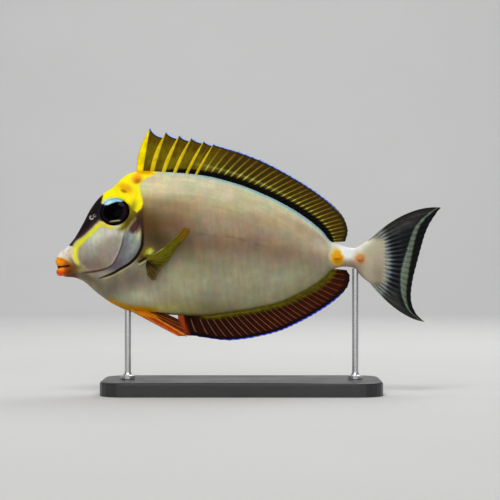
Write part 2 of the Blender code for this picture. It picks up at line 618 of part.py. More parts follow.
def build_stand_rod(name, s, home, cutters):
    """A turned rod with a small foot, whose top follows the fish's underside."""
    start = BASE_SIZE[2] + GAP
    end = AXIS_HEIGHT + belly(s) + ROD_OVERRUN
    fillet = ROD_FOOT_RADIUS - ROD_RADIUS
    profile = [(0.0, end), (ROD_RADIUS, end), (ROD_RADIUS, start + ROD_FOOT_HEIGHT + fillet)]
    for angle in np.linspace(math.pi, 1.5 * math.pi, 5)[1:-1]:
        rise = fillet * (1 + math.sin(angle))
        profile.append((ROD_FOOT_RADIUS + fillet * math.cos(angle), start + ROD_FOOT_HEIGHT + rise))
    profile += [(ROD_FOOT_RADIUS, start + ROD_FOOT_HEIGHT), (ROD_FOOT_RADIUS, start), (0.0, start)]
    mesh = bpy.data.meshes.new(name)
    steps = [(i, i + 1) for i in range(len(profile) - 1)]
    mesh.from_pydata([(r * MM, 0, z * MM) for r, z in profile], steps, [])
    rod = bpy.data.objects.new(name, mesh)
    rod.location = (placed(s, 0, 0).x, 0, 0)
    home.objects.link(rod)
    turn = rod.modifiers.new("turn", "SCREW")
    turn.steps = turn.render_steps = 20
    turn.use_merge_vertices, turn.merge_threshold = True, 1e-5
    bpy.context.view_layer.update()
    rod = carved(applied(rod), body_loft("underside", GAP, cutters))
    return finished(largest_piece(rod), "stand_steel")


def build_all():
    for old in list(bpy.data.objects):
        bpy.data.objects.remove(old)
    fish, stand = collection("elegant_unicornfish"), collection("display_stand")
    cutters = collection("cutters", hidden=True)
    build_head(fish, cutters)
    build_trunk(fish, cutters)
    build_tail_stalk(fish, cutters)
    finished(lip_roll("lip_upper", UPPER_LIP, 0.0, fish), "lip_orange")
    finished(lip_roll("lip_lower", LOWER_LIP, 0.0, fish), "lip_orange")
    build_dorsal_fin(fish)
    build_anal_fin(fish)
    build_caudal_fin(fish)
    for side, word in ((LEFT, "left"), (RIGHT, "right")):
        finished(eyeball(f"eye_{word}", side, 0.0, fish), "eye_black")
        finished(gill_cover(f"gill_cover_{word}", side, 0.0, fish), "body_grey")
        build_pectoral_fin(side, f"pectoral_fin_{word}", fish, cutters)
        build_pelvic_fin(side, f"pelvic_fin_{word}", fish, cutters)
        for place, sizes in TAIL_BLADES.items():
            build_tail_blade(side, f"tail_blade_{place}_{word}", sizes, fish, cutters)
    build_stand_base(stand)
    for place, s in ROD_PLACES.items():
        build_stand_rod(f"stand_rod_{place}", s, stand, cutters)


build_all()
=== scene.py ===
"""The looks of the elegant unicornfish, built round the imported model: skin, fins, eyes, blades and studio.

Lengths are in millimetres until placed() turns them into metres: s runs back from the snout's tip, y runs to
the fish's right, and h runs up from the body's axis. Both sides of the fish are alike.
"""

import math
from types import SimpleNamespace

import bpy
import numpy as np
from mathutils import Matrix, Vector


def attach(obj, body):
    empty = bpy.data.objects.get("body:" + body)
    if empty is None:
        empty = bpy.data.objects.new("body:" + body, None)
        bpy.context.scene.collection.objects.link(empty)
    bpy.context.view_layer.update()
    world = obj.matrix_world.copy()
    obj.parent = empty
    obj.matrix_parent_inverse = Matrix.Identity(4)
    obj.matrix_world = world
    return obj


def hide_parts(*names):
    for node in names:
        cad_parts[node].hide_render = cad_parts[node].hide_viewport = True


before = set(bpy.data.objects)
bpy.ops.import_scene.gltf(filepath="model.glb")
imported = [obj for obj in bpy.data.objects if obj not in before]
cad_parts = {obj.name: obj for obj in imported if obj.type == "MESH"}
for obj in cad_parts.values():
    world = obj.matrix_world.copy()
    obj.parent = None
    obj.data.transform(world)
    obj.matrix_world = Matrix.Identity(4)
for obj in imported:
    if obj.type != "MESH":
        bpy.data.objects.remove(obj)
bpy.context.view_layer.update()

MM = 0.001
TOTAL_LENGTH, AXIS_HEIGHT = 221.5, 78.0
LEFT, RIGHT = -1, 1

# The body's side outline and girth, each as (s, value), run on past the body's end over the tail fin's foot.
BODY_END, SKIN_END = 181.0, 190.5
BACK = [
    (0.0, -1.5), (1.5, 1.4), (6.0, 5.2), (10.6, 10.4), (16.2, 19.9), (19.8, 26.9), (24.4, 33.3), (29.0, 37.5),
    (34.0, 40.9), (38.2, 45.2), (43.0, 48.3), (49.0, 49.6), (66.0, 48.9), (84.0, 47.2), (102.6, 42.8),
    (121.0, 35.7), (139.4, 25.9), (153.8, 14.7), (158.4, 9.2), (164.0, 7.0), (171.6, 5.3), (176.2, 7.4),
    (181.0, 10.5), (186.0, 14.0), (SKIN_END, 17.0),
]
BELLY = [
    (0.0, -6.5), (1.5, -9.2), (6.0, -11.2), (10.6, -11.6), (15.2, -13.2), (24.4, -20.7), (33.6, -27.0),
    (43.0, -31.0), (56.6, -32.4), (84.0, -33.6), (100.0, -31.9), (119.0, -28.8), (131.0, -25.4),
    (140.6, -20.8), (148.0, -16.8), (155.0, -11.2), (158.8, -7.2), (166.0, -5.4), (171.0, -5.8),
    (176.2, -11.2), (181.0, -15.0), (186.0, -19.3), (SKIN_END, -22.6),
]
HALF_WIDTH = [
    (0.0, 1.8), (1.5, 3.3), (4.0, 4.7), (8.0, 5.5), (12.0, 6.3), (20.0, 8.5), (29.0, 11.0), (36.0, 12.8),
    (47.0, 15.0), (60.0, 16.3), (75.0, 16.5), (93.0, 15.6), (112.0, 13.3), (130.0, 10.3), (145.0, 7.3),
    (155.0, 5.4), (162.0, 4.6), (171.0, 4.0), (181.0, 2.4), (186.0, 1.1), (SKIN_END, 0.05),
]
WIDEST_HEIGHT = [(0.0, -4.0), (6.0, -3.5), (15.0, 0.0), (25.0, 5.0), (35.0, 8.0), (50.0, 6.0), (80.0, 4.0),
                 (120.0, 2.0), (160.0, 0.5), (181.0, -2.2), (SKIN_END, -2.8)]
EDGE_SHARPNESS = [(0.0, 1.0), (35.0, 0.95), (60.0, 1.12), (150.0, 1.15), (181.0, 1.0), (SKIN_END, 1.0)]

# The skin's grid of rings.
RING_HALF, RING_SAMPLES, STATION_SAMPLES = 300, 721, 2000
CAP_RINGS = 22
SNOUT_CORE = (13.0, 0.0, -5.0)
SNOUT_END = SNOUT_CORE[0] - 0.01
SNOUT_TURN = 0.85
SHRINK_START, SHRINK_STEPS, SHRINK_SHARE, SHRINK_TOLERANCE, SHRINK_STOP = 3.0, 70, 0.7, 0.003, 1.0
HEAD_END, HEAD_STEP = 56.0, 0.34
RELIEF_END, HEAD_PAINT_END, MOUTH_PAINT_END = 66.0, 62.0, 13.0
TRUNK_STEP, TAIL_START, TAIL_STEP = 0.85, 156.0, 0.42

# The mouth: each lip is a roll from corner to corner.
LIP_CORNER, LIP_CORNER_RADIUS = (9.6, 4.1), 0.9
UPPER_LIP = [{"front": (2.42, -2.7), "corner_h": -4.0, "radius": 2.35},
             {"front": (1.6, -3.8), "corner_h": -4.2, "radius": 1.15}]
LOWER_LIP = [{"front": (2.9, -8.45), "corner_h": -5.4, "radius": 2.35},
             {"front": (2.2, -7.2), "corner_h": -5.3, "radius": 1.15}]
LIP_BEADS = 36
LIP_BLEND = 0.45
MOUTH_FRONT = [(-11.0, 3.0), (-7.4, 2.6), (-5.6, 0.4), (-2.7, 2.4), (-0.6, 0.9), (2.0, 0.9)]
SLIT_DEPTH = 0.8
MOUTH_SLIT = [(-2.0, -3.6), (5.0, -4.0), (8.4, -4.5), (9.8, -4.7), (8.4, -5.0), (5.0, -6.6), (-2.0, -7.8)]

# How far up and down the lips' orange reaches, at places along the snout.
LIP_EDGE_PLACES = (0.0, 4.5, 7.5, 10.5)
UPPER_LIP_EDGE, LOWER_LIP_EDGE = (-0.1, -0.9, -2.3, -4.4), (-11.5, -11.2, -9.4, -6.2)

# The head's other features.
EYE_SEEN, EYE_RADII, EYE_HALF_DEPTH, EYE_SINK = (33.9, 26.15), (8.9, 7.8), 3.5, 1.5
NOSTRILS = [(20.8, 22.9, 0.95), (22.6, 24.0, 0.65)]
GILL_LINE = [(49.9, 31.0), (49.7, 24.2), (49.9, 15.5), (49.7, 8.1), (47.5, 2.2), (43.2, -2.8), (37.5, -6.4),
             (31.8, -9.5), (25.0, -11.9)]
PECTORAL_KNOB = ((53.4, 3.2), (3.4, 2.3), 35)
PECTORAL_FOLD = [(46.4, -4.2), (48.4, -3.7), (50.8, -2.4), (53.4, -0.6)]
CHEEK_LINE = [(42.4, 19.0), (39.7, 14.4), (38.0, 6.9), (35.4, 0.3), (32.7, -4.1), (28.3, -6.7), (22.1, -8.1),
              (15.1, -9.0)]

# How far the head's features stand out from the plain body, or sink into it.
EYE_RIM, EYE_SOCKET = 0.3, 3.4
GILL_LID, GILL_GROOVE, GILL_LID_LENGTH, GILL_LID_EDGE = 0.85, 0.75, 4.5, 0.8
CHEEK_STEP, CHEEK_STEP_LENGTH = 0.3, 5.0
NOSTRIL_RIM, NOSTRIL_DEPTH = 0.28, 1.0
KNOB_RISE, FOLD_RISE, FOLD_DEPTH = 0.5, 0.35, 0.6

PAINT = "Paint"
FAR = 1e9
NOISE_TABLE = 64

# The camera looks square at the fish's left side; its axis passes the middle plane at VIEW_AXIS, as (s, h).
CAMERA_DISTANCE, VIEW_AXIS = 1000.0, (111.9, 4.2)
PHOTO_SPAN = 287.5
SIGHT_STEPS = 4


def smooth_line(knots):
    """A curve through the knots that never overshoots them, for arrays."""
    x, y = np.array(knots, float).T
    step, slope = np.diff(x), np.diff(y) / np.diff(x)
    tangent = np.zeros_like(x)
    tangent[0], tangent[-1] = slope[0], slope[-1]
    for i in range(1, len(x) - 1):
        if slope[i - 1] * slope[i] > 0:
            before, after = 2 * step[i] + step[i - 1], step[i] + 2 * step[i - 1]
            tangent[i] = (before + after) / (before / slope[i - 1] + after / slope[i])

    def at(s):
        i = np.clip(np.searchsorted(x, s) - 1, 0, len(step) - 1)
        t = np.clip((s - x[i]) / step[i], 0.0, 1.0)
        leave, arrive = tangent[i] * step[i], tangent[i + 1] * step[i]
        rise = y[i + 1] - y[i]
        bend, turn = 3 * rise - 2 * leave - arrive, leave + arrive - 2 * rise
        return y[i] + leave * t + bend * t**2 + turn * t**3

    return at


def smooth_path(points, count=70):
    """Points spread evenly along a smooth curve through the given ones."""
    points = np.array(points, float)
    along = np.concatenate([[0], np.cumsum(np.hypot(*np.diff(points, axis=0).T))])
    places = np.linspace(0, along[-1], count)
    return np.stack([smooth_line(list(zip(along, column)))(places) for column in points.T], axis=1)


back, belly, girth = smooth_line(BACK), smooth_line(BELLY), smooth_line(HALF_WIDTH)
widest_height, sharpness = smooth_line(WIDEST_HEIGHT), smooth_line(EDGE_SHARPNESS)


def placed(points):
    """Points (s, y, h) of the fish as world points in metres."""
    moved = np.array(points, float)
    moved[..., 0] -= TOTAL_LENGTH / 2
    moved[..., 2] += AXIS_HEIGHT
    return moved * MM


def half_width(s, h):
    """The flank's distance from the middle plane."""
    middle = widest_height(s)
    reach = np.where(h > middle, back(s), belly(s)) - middle
    share = np.clip(np.abs((h - middle) / reach), 0, 1)
    return girth(s) * (1 - share**2) ** (sharpness(s) / 2)


def flank_normal(s, h):
    """The direction away from the right flank, as (s, y, h)."""
    step = 0.5
    along = (half_width(s + step, h) - half_width(s - step, h)) / (2 * step)
    up = (half_width(s, h + step) - half_width(s, h - step)) / (2 * step)
    normal = np.array([-along, 1.0, -up])
    return normal / np.linalg.norm(normal)


def in_view(points):
    """Where points of the flank appear to the camera, as (s, h) at the middle plane's scale."""
    nearness = 1 / (1 - np.abs(points[..., 1]) / CAMERA_DISTANCE)
    return [axis + (points[..., k] - axis) * nearness for k, axis in zip((0, 2), VIEW_AXIS)]


def from_view(seen, y):
    """Where (s, h) lies for a point that appears at the seen place, y away from the middle plane."""
    nearness = 1 - y / CAMERA_DISTANCE
    return [axis + (place - axis) * nearness for place, axis in zip(seen, VIEW_AXIS)]


def on_flank(s, h):
    """The point of the right flank that appears at (s, h)."""
    point = np.array([s, 0.0, h])
    for _ in range(SIGHT_STEPS):
        point[1] = half_width(point[0], point[2])
        point[0], point[2] = from_view((s, h), point[1])
    return point


def ramp(x, low, high):
    """0 below low, 1 above high and a smooth step between; low may be the greater."""
    t = np.clip((x - low) / (high - low), 0, 1)
    return t * t * (3 - 2 * t)


def within(x, start, full, fade, end):
    """1 from full to fade, falling smoothly to 0 at start and at end."""
    return ramp(x, start, full) * ramp(x, end, fade)


def bump(x, width):
    """1 at 0, fading to either side like a bell."""
    return np.exp(-((x / width) ** 2))


def smooth_min(a, b, blend):
    share = np.clip(0.5 + 0.5 * (b - a) / blend, 0, 1)
    return b + (a - b) * share - blend * share * (1 - share)


def segment_offsets(s, h, start, end):
    """Offsets from the nearest point of a straight line, and the share of the line passed there."""
    along = end - start
    t = np.clip(((s - start[0]) * along[0] + (h - start[1]) * along[1]) / (along @ along), 0, 1)
    return s - start[0] - t * along[0], h - start[1] - t * along[1], t


def line_distance(s, h, line):
    """Distance to a polyline, positive on its rear side where it runs down, and the share of it passed."""
    nearest, side, share = np.full(s.shape, FAR), np.ones(s.shape), np.zeros(s.shape)
    for i, (start, end) in enumerate(zip(line, line[1:])):
        off_s, off_h, passed = segment_offsets(s, h, start, end)
        distance = np.hypot(off_s, off_h)
        closer = distance < nearest
        along_s, along_h = end - start
        nearest = np.where(closer, distance, nearest)
        side = np.where(closer, np.sign(along_s * off_h - along_h * off_s), side)
        share = np.where(closer, (i + passed) / (len(line) - 1), share)
    return nearest * np.where(side == 0, 1, side), share


def path_distance(s, h, points):
    """The same for a smooth curve through the points."""
    return line_distance(s, h, smooth_path(points))


def inside_distance(s, h, outline):
    """Distance to a closed outline, positive inside."""
    outline = np.array(outline, float)
    nearest, inside = np.full(s.shape, FAR), np.zeros(s.shape, bool)
    for start, end in zip(outline, np.roll(outline, -1, axis=0)):
        off_s, off_h, _ = segment_offsets(s, h, start, end)
        nearest = np.minimum(nearest, np.hypot(off_s, off_h))
        along_s, along_h = end - start
        crosses = (start[1] > h) != (end[1] > h)
        inside ^= crosses & (s < start[0] + (h - start[1]) / (along_h or 1 / FAR) * along_s)
    return np.where(inside, nearest, -nearest)


def ellipse(s, h, centre, radii, tilt=0.0):
    """1 on an ellipse's edge and 0 at its centre, with its first axis turned up by tilt degrees."""
    turn = math.radians(tilt)
    along = (s - centre[0]) * math.cos(turn) + (h - centre[1]) * math.sin(turn)
    across = -(s - centre[0]) * math.sin(turn) + (h - centre[1]) * math.cos(turn)
    return np.hypot(along / radii[0], across / radii[1])


def soft_noise(x, y, seed):
    """Smooth uneven values from -1 to 1 over a plane, about one hill or hollow to each unit."""
    table = np.random.default_rng(seed).uniform(-1, 1, (NOISE_TABLE, NOISE_TABLE))
    column, row = np.floor(x).astype(int), np.floor(y).astype(int)
    across, up = ramp(x - column, 0, 1), ramp(y - row, 0, 1)

    def level(k):
        near, far = (table[(column + step) % NOISE_TABLE, (row + k) % NOISE_TABLE] for step in (0, 1))
        return near * (1 - across) + far * across

    return level(0) * (1 - up) + level(1) * up


def frayed(s, h, size):
    """The same places moved a little to and fro, so that painted edges run unevenly."""
    return s + size * soft_noise(s / 1.6, h / 1.6, 5), h + size * soft_noise(s / 1.6, h / 1.6, 6)


def hexed(colour):
    return np.array([int(colour[i:i + 2], 16) / 255 for i in (1, 3, 5)])


def linear(colours):
    return np.where(colours <= 0.04045, colours / 12.92, ((colours + 0.055) / 1.055) ** 2.4)


class Coat:
    """The colours of points, laid one over another as one paints, from one colour or from a row for each."""

    def __init__(self, start, s, h=None):
        self.s, self.h = s, h
        self.colours = np.tile(hexed(start), (len(s), 1)) if isinstance(start, str) else start.copy()

    def lay(self, colour, mask):
        self.colours += (hexed(colour) - self.colours) * np.clip(mask, 0, 1)[:, None]

    def spot(self, colour, strength, centre, radii, tilt=0.0):
        """A soft spot that fades from its centre outward."""
        self.lay(colour, strength * bump(ellipse(self.s, self.h, centre, radii, tilt), 1.0))

    def oval(self, colour, strength, edge, centre, radii, tilt=0.0, fray=0.0):
        """An oval patch whose edge fades in between two shares of its radii, and may be frayed."""
        s, h = frayed(self.s, self.h, fray) if fray else (self.s, self.h)
        self.lay(colour, strength * ramp(ellipse(s, h, centre, radii, tilt), *edge))


def added(name, data):
    """A new object in the scene."""
    made = bpy.data.objects.new(name, data)
    bpy.context.scene.collection.objects.link(made)
    return made


def made_mesh(name, points, faces, paint, extra=None):
    """A smooth mesh object from points (s, y, h), with its paint and any other values as attributes."""
    mesh = bpy.data.meshes.new(name)
    mesh.from_pydata(placed(points).tolist(), [], faces)
    mesh.validate()
    mesh.shade_smooth()
    layer = mesh.attributes.new(PAINT, "FLOAT_COLOR", "POINT")
    rgba = np.ones((len(points), 4), np.float32)
    rgba[:, :3] = linear(np.clip(paint, 0, 1))
    layer.data.foreach_set("color", rgba.ravel())
    for key, values in (extra or {}).items():
        layer = mesh.attributes.new(key, "FLOAT", "POINT")
        layer.data.foreach_set("value", np.asarray(values, np.float32))
    return added(name, mesh)


def grid_faces(index, close=False):
    """Quads over a grid of point numbers, joined across its ends if close."""
    if close:
        index = np.concatenate([index, index[:, :1]], axis=1)
    quads = np.stack([index[:-1, :-1], index[:-1, 1:], index[1:, 1:], index[1:, :-1]], axis=-1)
    return quads.reshape(-1, 4)


def fan_faces(centre, ring_index):
    """Triangles from one point to each side of a closed ring."""
    return [(centre, after, before) for before, after in zip(ring_index, np.roll(ring_index, -1))]


def roll_beads(roll):
    """Centres and radii of the balls along one roll of a lip."""
    (front_s, front_h), (corner_s, corner_y) = roll["front"], LIP_CORNER
    angle = np.linspace(-math.pi / 2, math.pi / 2, LIP_BEADS)
    forward = np.clip(np.cos(angle), 0, 1)
    fullness = np.sqrt(forward)
    s = corner_s - (corner_s - front_s) * forward
    h = roll["corner_h"] + (front_h - roll["corner_h"]) * fullness
    centres = np.stack([s, corner_y * np.sin(angle), h], axis=1)
    return centres, LIP_CORNER_RADIUS + (roll["radius"] - LIP_CORNER_RADIUS) * fullness


def lip_beads(rolls):
    """Centres and radii of the balls whose union is the lip."""
    return [np.concatenate(part) for part in zip(*(roll_beads(roll) for roll in rolls))]


LIPS = [lip_beads(UPPER_LIP), lip_beads(LOWER_LIP)]


def lip_distance(points, beads):
    nearest = np.full(len(points), FAR)
    for centre, radius in zip(*beads):
        nearest = np.minimum(nearest, np.linalg.norm(points - centre, axis=1) - radius)
    return nearest


def snout_parts(points):
    """About how far points lie outside the snout without its lips, and outside each lip."""
    s, y, h = points.T
    middle = widest_height(s)
    reach = np.where(h > middle, back(s), belly(s)) - middle
    width = girth(s)
    round_share = np.sqrt((np.abs(y) / width) ** (2 / sharpness(s)) + ((h - middle) / reach) ** 2)
    body = (round_share - 1) * width
    heights, fronts = np.array(MOUTH_FRONT).T
    body = np.maximum(body, np.interp(h, heights, fronts) - s)
    body = np.maximum(body, np.minimum(inside_distance(s, h, MOUTH_SLIT), body + SLIT_DEPTH))
    return body, lip_distance(points, LIPS[0]), lip_distance(points, LIPS[1])


def shrink_to_snout(core, directions, start):
    """Slides points in along rays towards the core until they meet the snout or a lip."""
    reach = start.copy()
    moving = np.arange(len(reach))
    for _ in range(SHRINK_STEPS):
        points = core + directions[moving] * reach[moving, None]
        body, upper, lower = snout_parts(points)
        gap = smooth_min(smooth_min(body, upper, LIP_BLEND), lower, LIP_BLEND)
        reach[moving] -= SHRINK_SHARE * np.maximum(gap, 0)
        moving = moving[(gap > SHRINK_TOLERANCE) & (reach[moving] > SHRINK_STOP)]
        if not len(moving):
            break
    return core + directions * reach[:, None]


def ring_stations():
    """Where the skin's rings stand: even turns about the snout's core, then even steps."""
    core_s, _, core_h = SNOUT_CORE
    fine = np.linspace(0, core_s, STATION_SAMPLES)
    turn = np.degrees(np.arctan2(back(fine) - core_h, core_s - fine))
    places = np.interp(np.arange(turn[0], turn[-1], SNOUT_TURN), turn, fine)
    head = np.arange(core_s, HEAD_END, HEAD_STEP)
    trunk = np.arange(HEAD_END, TAIL_START, TRUNK_STEP)
    tail = np.linspace(TAIL_START, SKIN_END, round((SKIN_END - TAIL_START) / TAIL_STEP) + 1)
    return np.concatenate([places, head, trunk, tail])


def ring(s):
    """One closed ring of the plain body, its points evenly spread, from the belly up the right side."""
    angle = np.linspace(-math.pi / 2, math.pi / 2, RING_SAMPLES)
    middle = widest_height(s)
    reach = np.where(angle > 0, back(s) - middle, middle - belly(s))
    width = girth(s) * np.clip(np.cos(angle), 0, 1) ** sharpness(s)
    h = middle + reach * np.sin(angle)
    along = np.concatenate([[0], np.cumsum(np.hypot(np.diff(width), np.diff(h)))])
    places = np.linspace(0, along[-1], RING_HALF + 1)
    right = np.stack([np.interp(places, along, width), np.interp(places, along, h)], axis=1)
    left = right[-2:0:-1] * (-1, 1)
    outline = np.concatenate([right, left])
    return np.column_stack([np.full(len(outline), s), outline])


def disc_axes(facing):
    """The rearward and upward directions square to the one that a disc faces."""
    rear = np.array([1.0, 0, 0]) - facing * facing[0]
    rear /= np.linalg.norm(rear)
    top = np.cross(rear, facing)
    return rear, top * np.sign(top[2])


def folded(points):
    """The same points with those of the left side moved over to the right side."""
    return points * (1, 0, 1) + np.abs(points) * (0, 1, 0)


def eye_axis(side=RIGHT):
    """The eye's centre on the flank and the direction it faces."""
    centre = on_flank(*EYE_SEEN)
    return centre * (1, side, 1), flank_normal(centre[0], centre[2]) * (1, side, 1)


def eye_distance(points):
    """Distance from the eye's axis in units of its upright radius, and the rear and upward offsets."""
    centre, facing = eye_axis()
    rear, top = disc_axes(facing)
    offset = folded(points) - centre
    along, up = offset @ rear, offset @ top
    return np.hypot(along * EYE_RADII[1] / EYE_RADII[0], up), along, up


def gill_relief(s, h):
    """A raised lid along the gill cover's rear edge, with a groove behind it."""
    behind, share = path_distance(s, h, GILL_LINE)
    ahead = -behind
    lid = GILL_LID * np.exp(-np.clip(ahead - GILL_LID_EDGE, 0, None) / GILL_LID_LENGTH)
    lid *= np.sqrt(np.clip(ahead / GILL_LID_EDGE, 0, 1))
    groove = GILL_GROOVE * bump(np.clip(behind, 0, None), 0.85)
    form = np.where(ahead > 0, lid - GILL_GROOVE * ramp(ahead, 0.35, 0.0), -groove)
    return form * within(share, 0.14, 0.36, 0.86, 1.0)


def relief(points):
    """How far the skin's features stand out from, or sink into, the plain body."""
    raised = np.zeros(len(points))
    head = points[:, 0] < RELIEF_END
    head_points = points[head]
    s, h = in_view(head_points)
    from_eye, _, _ = eye_distance(head_points)
    form = EYE_RIM * bump(from_eye - 9.3, 1.3) * ramp(from_eye, 7.4, 8.4)
    form += gill_relief(s, h) - EYE_SOCKET * ramp(from_eye, 7.95, 7.3)
    behind, share = path_distance(s, h, CHEEK_LINE)
    step = ramp(behind, 0.35, -0.5) * np.exp(np.clip(behind, None, 0) / CHEEK_STEP_LENGTH)
    form += CHEEK_STEP * (step - bump(behind - 0.25, 0.45)) * within(share, 0.0, 0.25, 0.85, 1.0)
    for place_s, place_h, radius in NOSTRILS:
        away = np.linalg.norm(folded(head_points) - on_flank(place_s, place_h), axis=1)
        form += NOSTRIL_RIM * bump(away - radius, 0.3) - NOSTRIL_DEPTH * ramp(away, radius, radius * 0.45)
    form += KNOB_RISE * bump(ellipse(s, h, *PECTORAL_KNOB), 0.9) * ramp(behind, 2.0, 6.0)
    fold, share = path_distance(s, h, PECTORAL_FOLD)
    form += (FOLD_RISE * bump(fold + 0.5, 0.6) - FOLD_DEPTH * bump(fold - 0.9, 0.8)) * ramp(share, 0.0, 0.3)
    raised[head] = form
    return raised


def body_rings(stations):
    """The plain body's rings, and the same rings with the skin's relief."""
    plain = np.stack([ring(s) for s in stations])
    along = np.gradient(plain, axis=0)
    around = np.roll(plain, -1, axis=1) - np.roll(plain, 1, axis=1)
    normal = np.cross(around, along)
    normal /= np.maximum(np.linalg.norm(normal, axis=2, keepdims=True), 1 / FAR)
    normal *= np.sign((normal * plain)[..., 1:].sum(axis=2).mean())
    return plain, plain + normal * relief(plain.reshape(-1, 3)).reshape(*plain.shape[:2], 1)


def snout_points(stations, plain):
    """The tip, a cap of ever smaller rings and the foremost rings, all shrunk onto the snout and lips."""
    core = np.array(SNOUT_CORE)
    tip = np.array([stations[0], 0, (back(stations[0]) + belly(stations[0])) / 2])
    shares = np.linspace(0, 1, CAP_RINGS + 1)[1:-1, None, None]
    cap = tip + (plain[0] - tip) * shares
    snout = np.concatenate([cap, plain[stations < SNOUT_END]])
    directions = np.concatenate([[tip], snout.reshape(-1, 3)]) - core
    reach = np.linalg.norm(directions, axis=1)
    return shrink_to_snout(core, directions / reach[:, None], reach + SHRINK_START), len(snout)


def welded(points, faces):
    """The same mesh without unused points, and without the faces that a weld has closed up."""
    used = np.unique(np.concatenate([np.ravel(face) for face in faces]))
    renumbered = np.full(len(points), -1)
    renumbered[used] = np.arange(len(used))
    faces = [tuple(dict.fromkeys(int(renumbered[k]) for k in face)) for face in faces]
    return points[used], [face for face in faces if len(face) > 2]


def build_skin():
    """One skin over head, lips, gill covers, trunk, tail stalk and the foot of the tail fin."""
    stations = ring_stations()
    plain, rings = body_rings(stations)
    front, rows = snout_points(stations, plain)
    rest = rings[stations >= SNOUT_END]
    rows, count = rows + len(rest), rings.shape[1]
    index = 1 + np.arange(rows * count).reshape(rows, count)
    # The last ring's two sides lie together and share their points.
    mirrored = (-np.arange(count)) % count
    index[-1] = np.minimum(index[-1], index[-1][mirrored])
    faces = grid_faces(index, close=True).tolist() + fan_faces(0, index[0])
    points, faces = welded(np.concatenate([front, rest.reshape(-1, 3)]), faces)
    colours, wet = skin_paint(points)
    return made_mesh("skin", points, faces, colours, {"Wet": wet})


# The flank's tones from the belly, 0, to the back, 1.
FLANK_TONES = [(0.0, "#99926c"), (0.1, "#9b9676"), (0.25, "#9f9b7f"), (0.38, "#92886f"), (0.5, "#7f6d5a"),
               (0.6, "#907b64"), (0.7, "#9d8b6f"), (0.78, "#ab9875"), (0.86, "#baad8b"), (0.94, "#c5bf9b"),
               (1.0, "#c6c4a8")]
# Soft spots on the flank, each a colour, its strength, centre and radii.
FLANK_BLOTCHES = [
    ("#d6cfa4", 0.95, (54.0, 39.8), (13.0, 6.0)), ("#b0925a", 0.7, (52.5, 32.0), (5.0, 3.6)),
    ("#4c300e", 0.97, (54.5, 17.5), (12.0, 12.0)), ("#2c2207", 0.85, (60.0, 9.5), (9.0, 6.0)),
    ("#6b4f34", 0.75, (69.0, 20.0), (11.0, 7.5)), ("#67503a", 0.75, (76.0, 8.0), (11.0, 6.0)),
    ("#8d7452", 0.75, (67.0, 28.5), (10.0, 4.5)), ("#7a6149", 0.5, (98.0, 7.0), (26.0, 5.0)),
    ("#a9a78a", 0.65, (60.0, -17.5), (13.0, 7.0)), ("#6a674c", 0.5, (77.0, 1.5), (7.0, 4.0)),
    ("#7b7d60", 0.45, (88.0, -3.0), (14.0, 5.0)), ("#5e4e36", 0.85, (53.0, 4.0), (5.5, 8.0)),
    ("#6c5f52", 0.8, (44.0, -11.0), (13.0, 7.0)), ("#6b6153", 0.8, (33.0, -17.0), (10.0, 6.0)),
    ("#c2c0a4", 0.9, (50.0, -23.0), (9.0, 4.5)), ("#877462", 0.6, (148.0, -4.0), (9.0, 6.0)),
    ("#bcae66", 0.85, (66.0, -29.0), (15.0, 4.0)), ("#aba888", 0.6, (70.0, -20.0), (9.0, 6.0)),
    ("#a9a57c", 0.5, (74.0, -13.0), (7.0, 7.0)), ("#a39e7a", 0.8, (118.0, -24.0), (16.0, 5.0)),
    ("#756f48", 0.4, (90.0, -29.0), (10.0, 4.0)), ("#7c6650", 0.5, (131.0, 3.0), (14.0, 4.0)),
    ("#b9b79c", 0.7, (154.0, 6.0), (6.0, 4.0)),
]


def trunk_paint(s, h):
    """The flank's colours: cream above, brown in the middle and olive grey below, with soft blotches."""
    up = (h - belly(s)) / np.maximum(back(s) - belly(s), 0.1)
    shares, tones = zip(*FLANK_TONES)
    channels = np.array([hexed(tone) for tone in tones]).T
    coat = Coat(np.stack([np.interp(up, shares, channel) for channel in channels], axis=1), s, h)
    coat.lay("#ab9c80", ramp(s, 112, 152) * within(up, 0.3, 0.55, 0.8, 1.0) * 0.8)
    for blotch in FLANK_BLOTCHES:
        coat.spot(*blotch)
    flank_streaks(coat, up)
    coat.lay("#6e6a2c", ramp(h - belly(s), 1.8, 0.2) * within(s, 52, 62, 150, 158) * 0.8)
    edge = np.interp(s, (60, 100, 150), (1.0, 1.7, 2.6))
    coat.lay("#bcc7b4", ramp(back(s) - h, edge * 1.7, edge * 0.8) * within(s, 56, 66, 154, 160) * 0.8)
    coat.lay("#93b6b8", ramp(back(s) - h, edge, edge * 0.5) * within(s, 58, 84, 154, 161) * 0.9)
    return coat.colours


def flank_streaks(coat, up):
    """Fine uneven streaks: along the back above, upright below, with a faint broken line between them."""
    s, h = coat.s, coat.h
    high = ramp(up, 0.62, 0.8)
    light = soft_noise(s / 11, (back(s) - h) / 1.3, 1) * high
    light += soft_noise(s / 1.5 + 0.1 * h, h / 8, 2) * (1 - high)
    light += 0.8 * soft_noise(s / 3.6, h / 2.6, 3)
    coat.colours *= 1 + 0.035 * light[:, None]
    warmth = soft_noise(s / 5.5, h / 4.5, 4) + 0.6 * soft_noise(s / 2.2, h / 3.2, 8)
    coat.colours += warmth[:, None] * (0.012, -0.003, -0.013)
    line = np.interp(s, (60, 83, 102, 117, 136), (15.5, 12.5, 11.0, 7.5, 3.0))
    line += 0.8 * soft_noise(s / 6, 0 * s, 9)
    broken = ramp(soft_noise(s / 4, h / 6, 10), -0.5, 0.3)
    coat.lay("#5c4a3a", bump(h - line, 0.8) * broken * within(s, 70, 84, 112, 130) * 0.32)


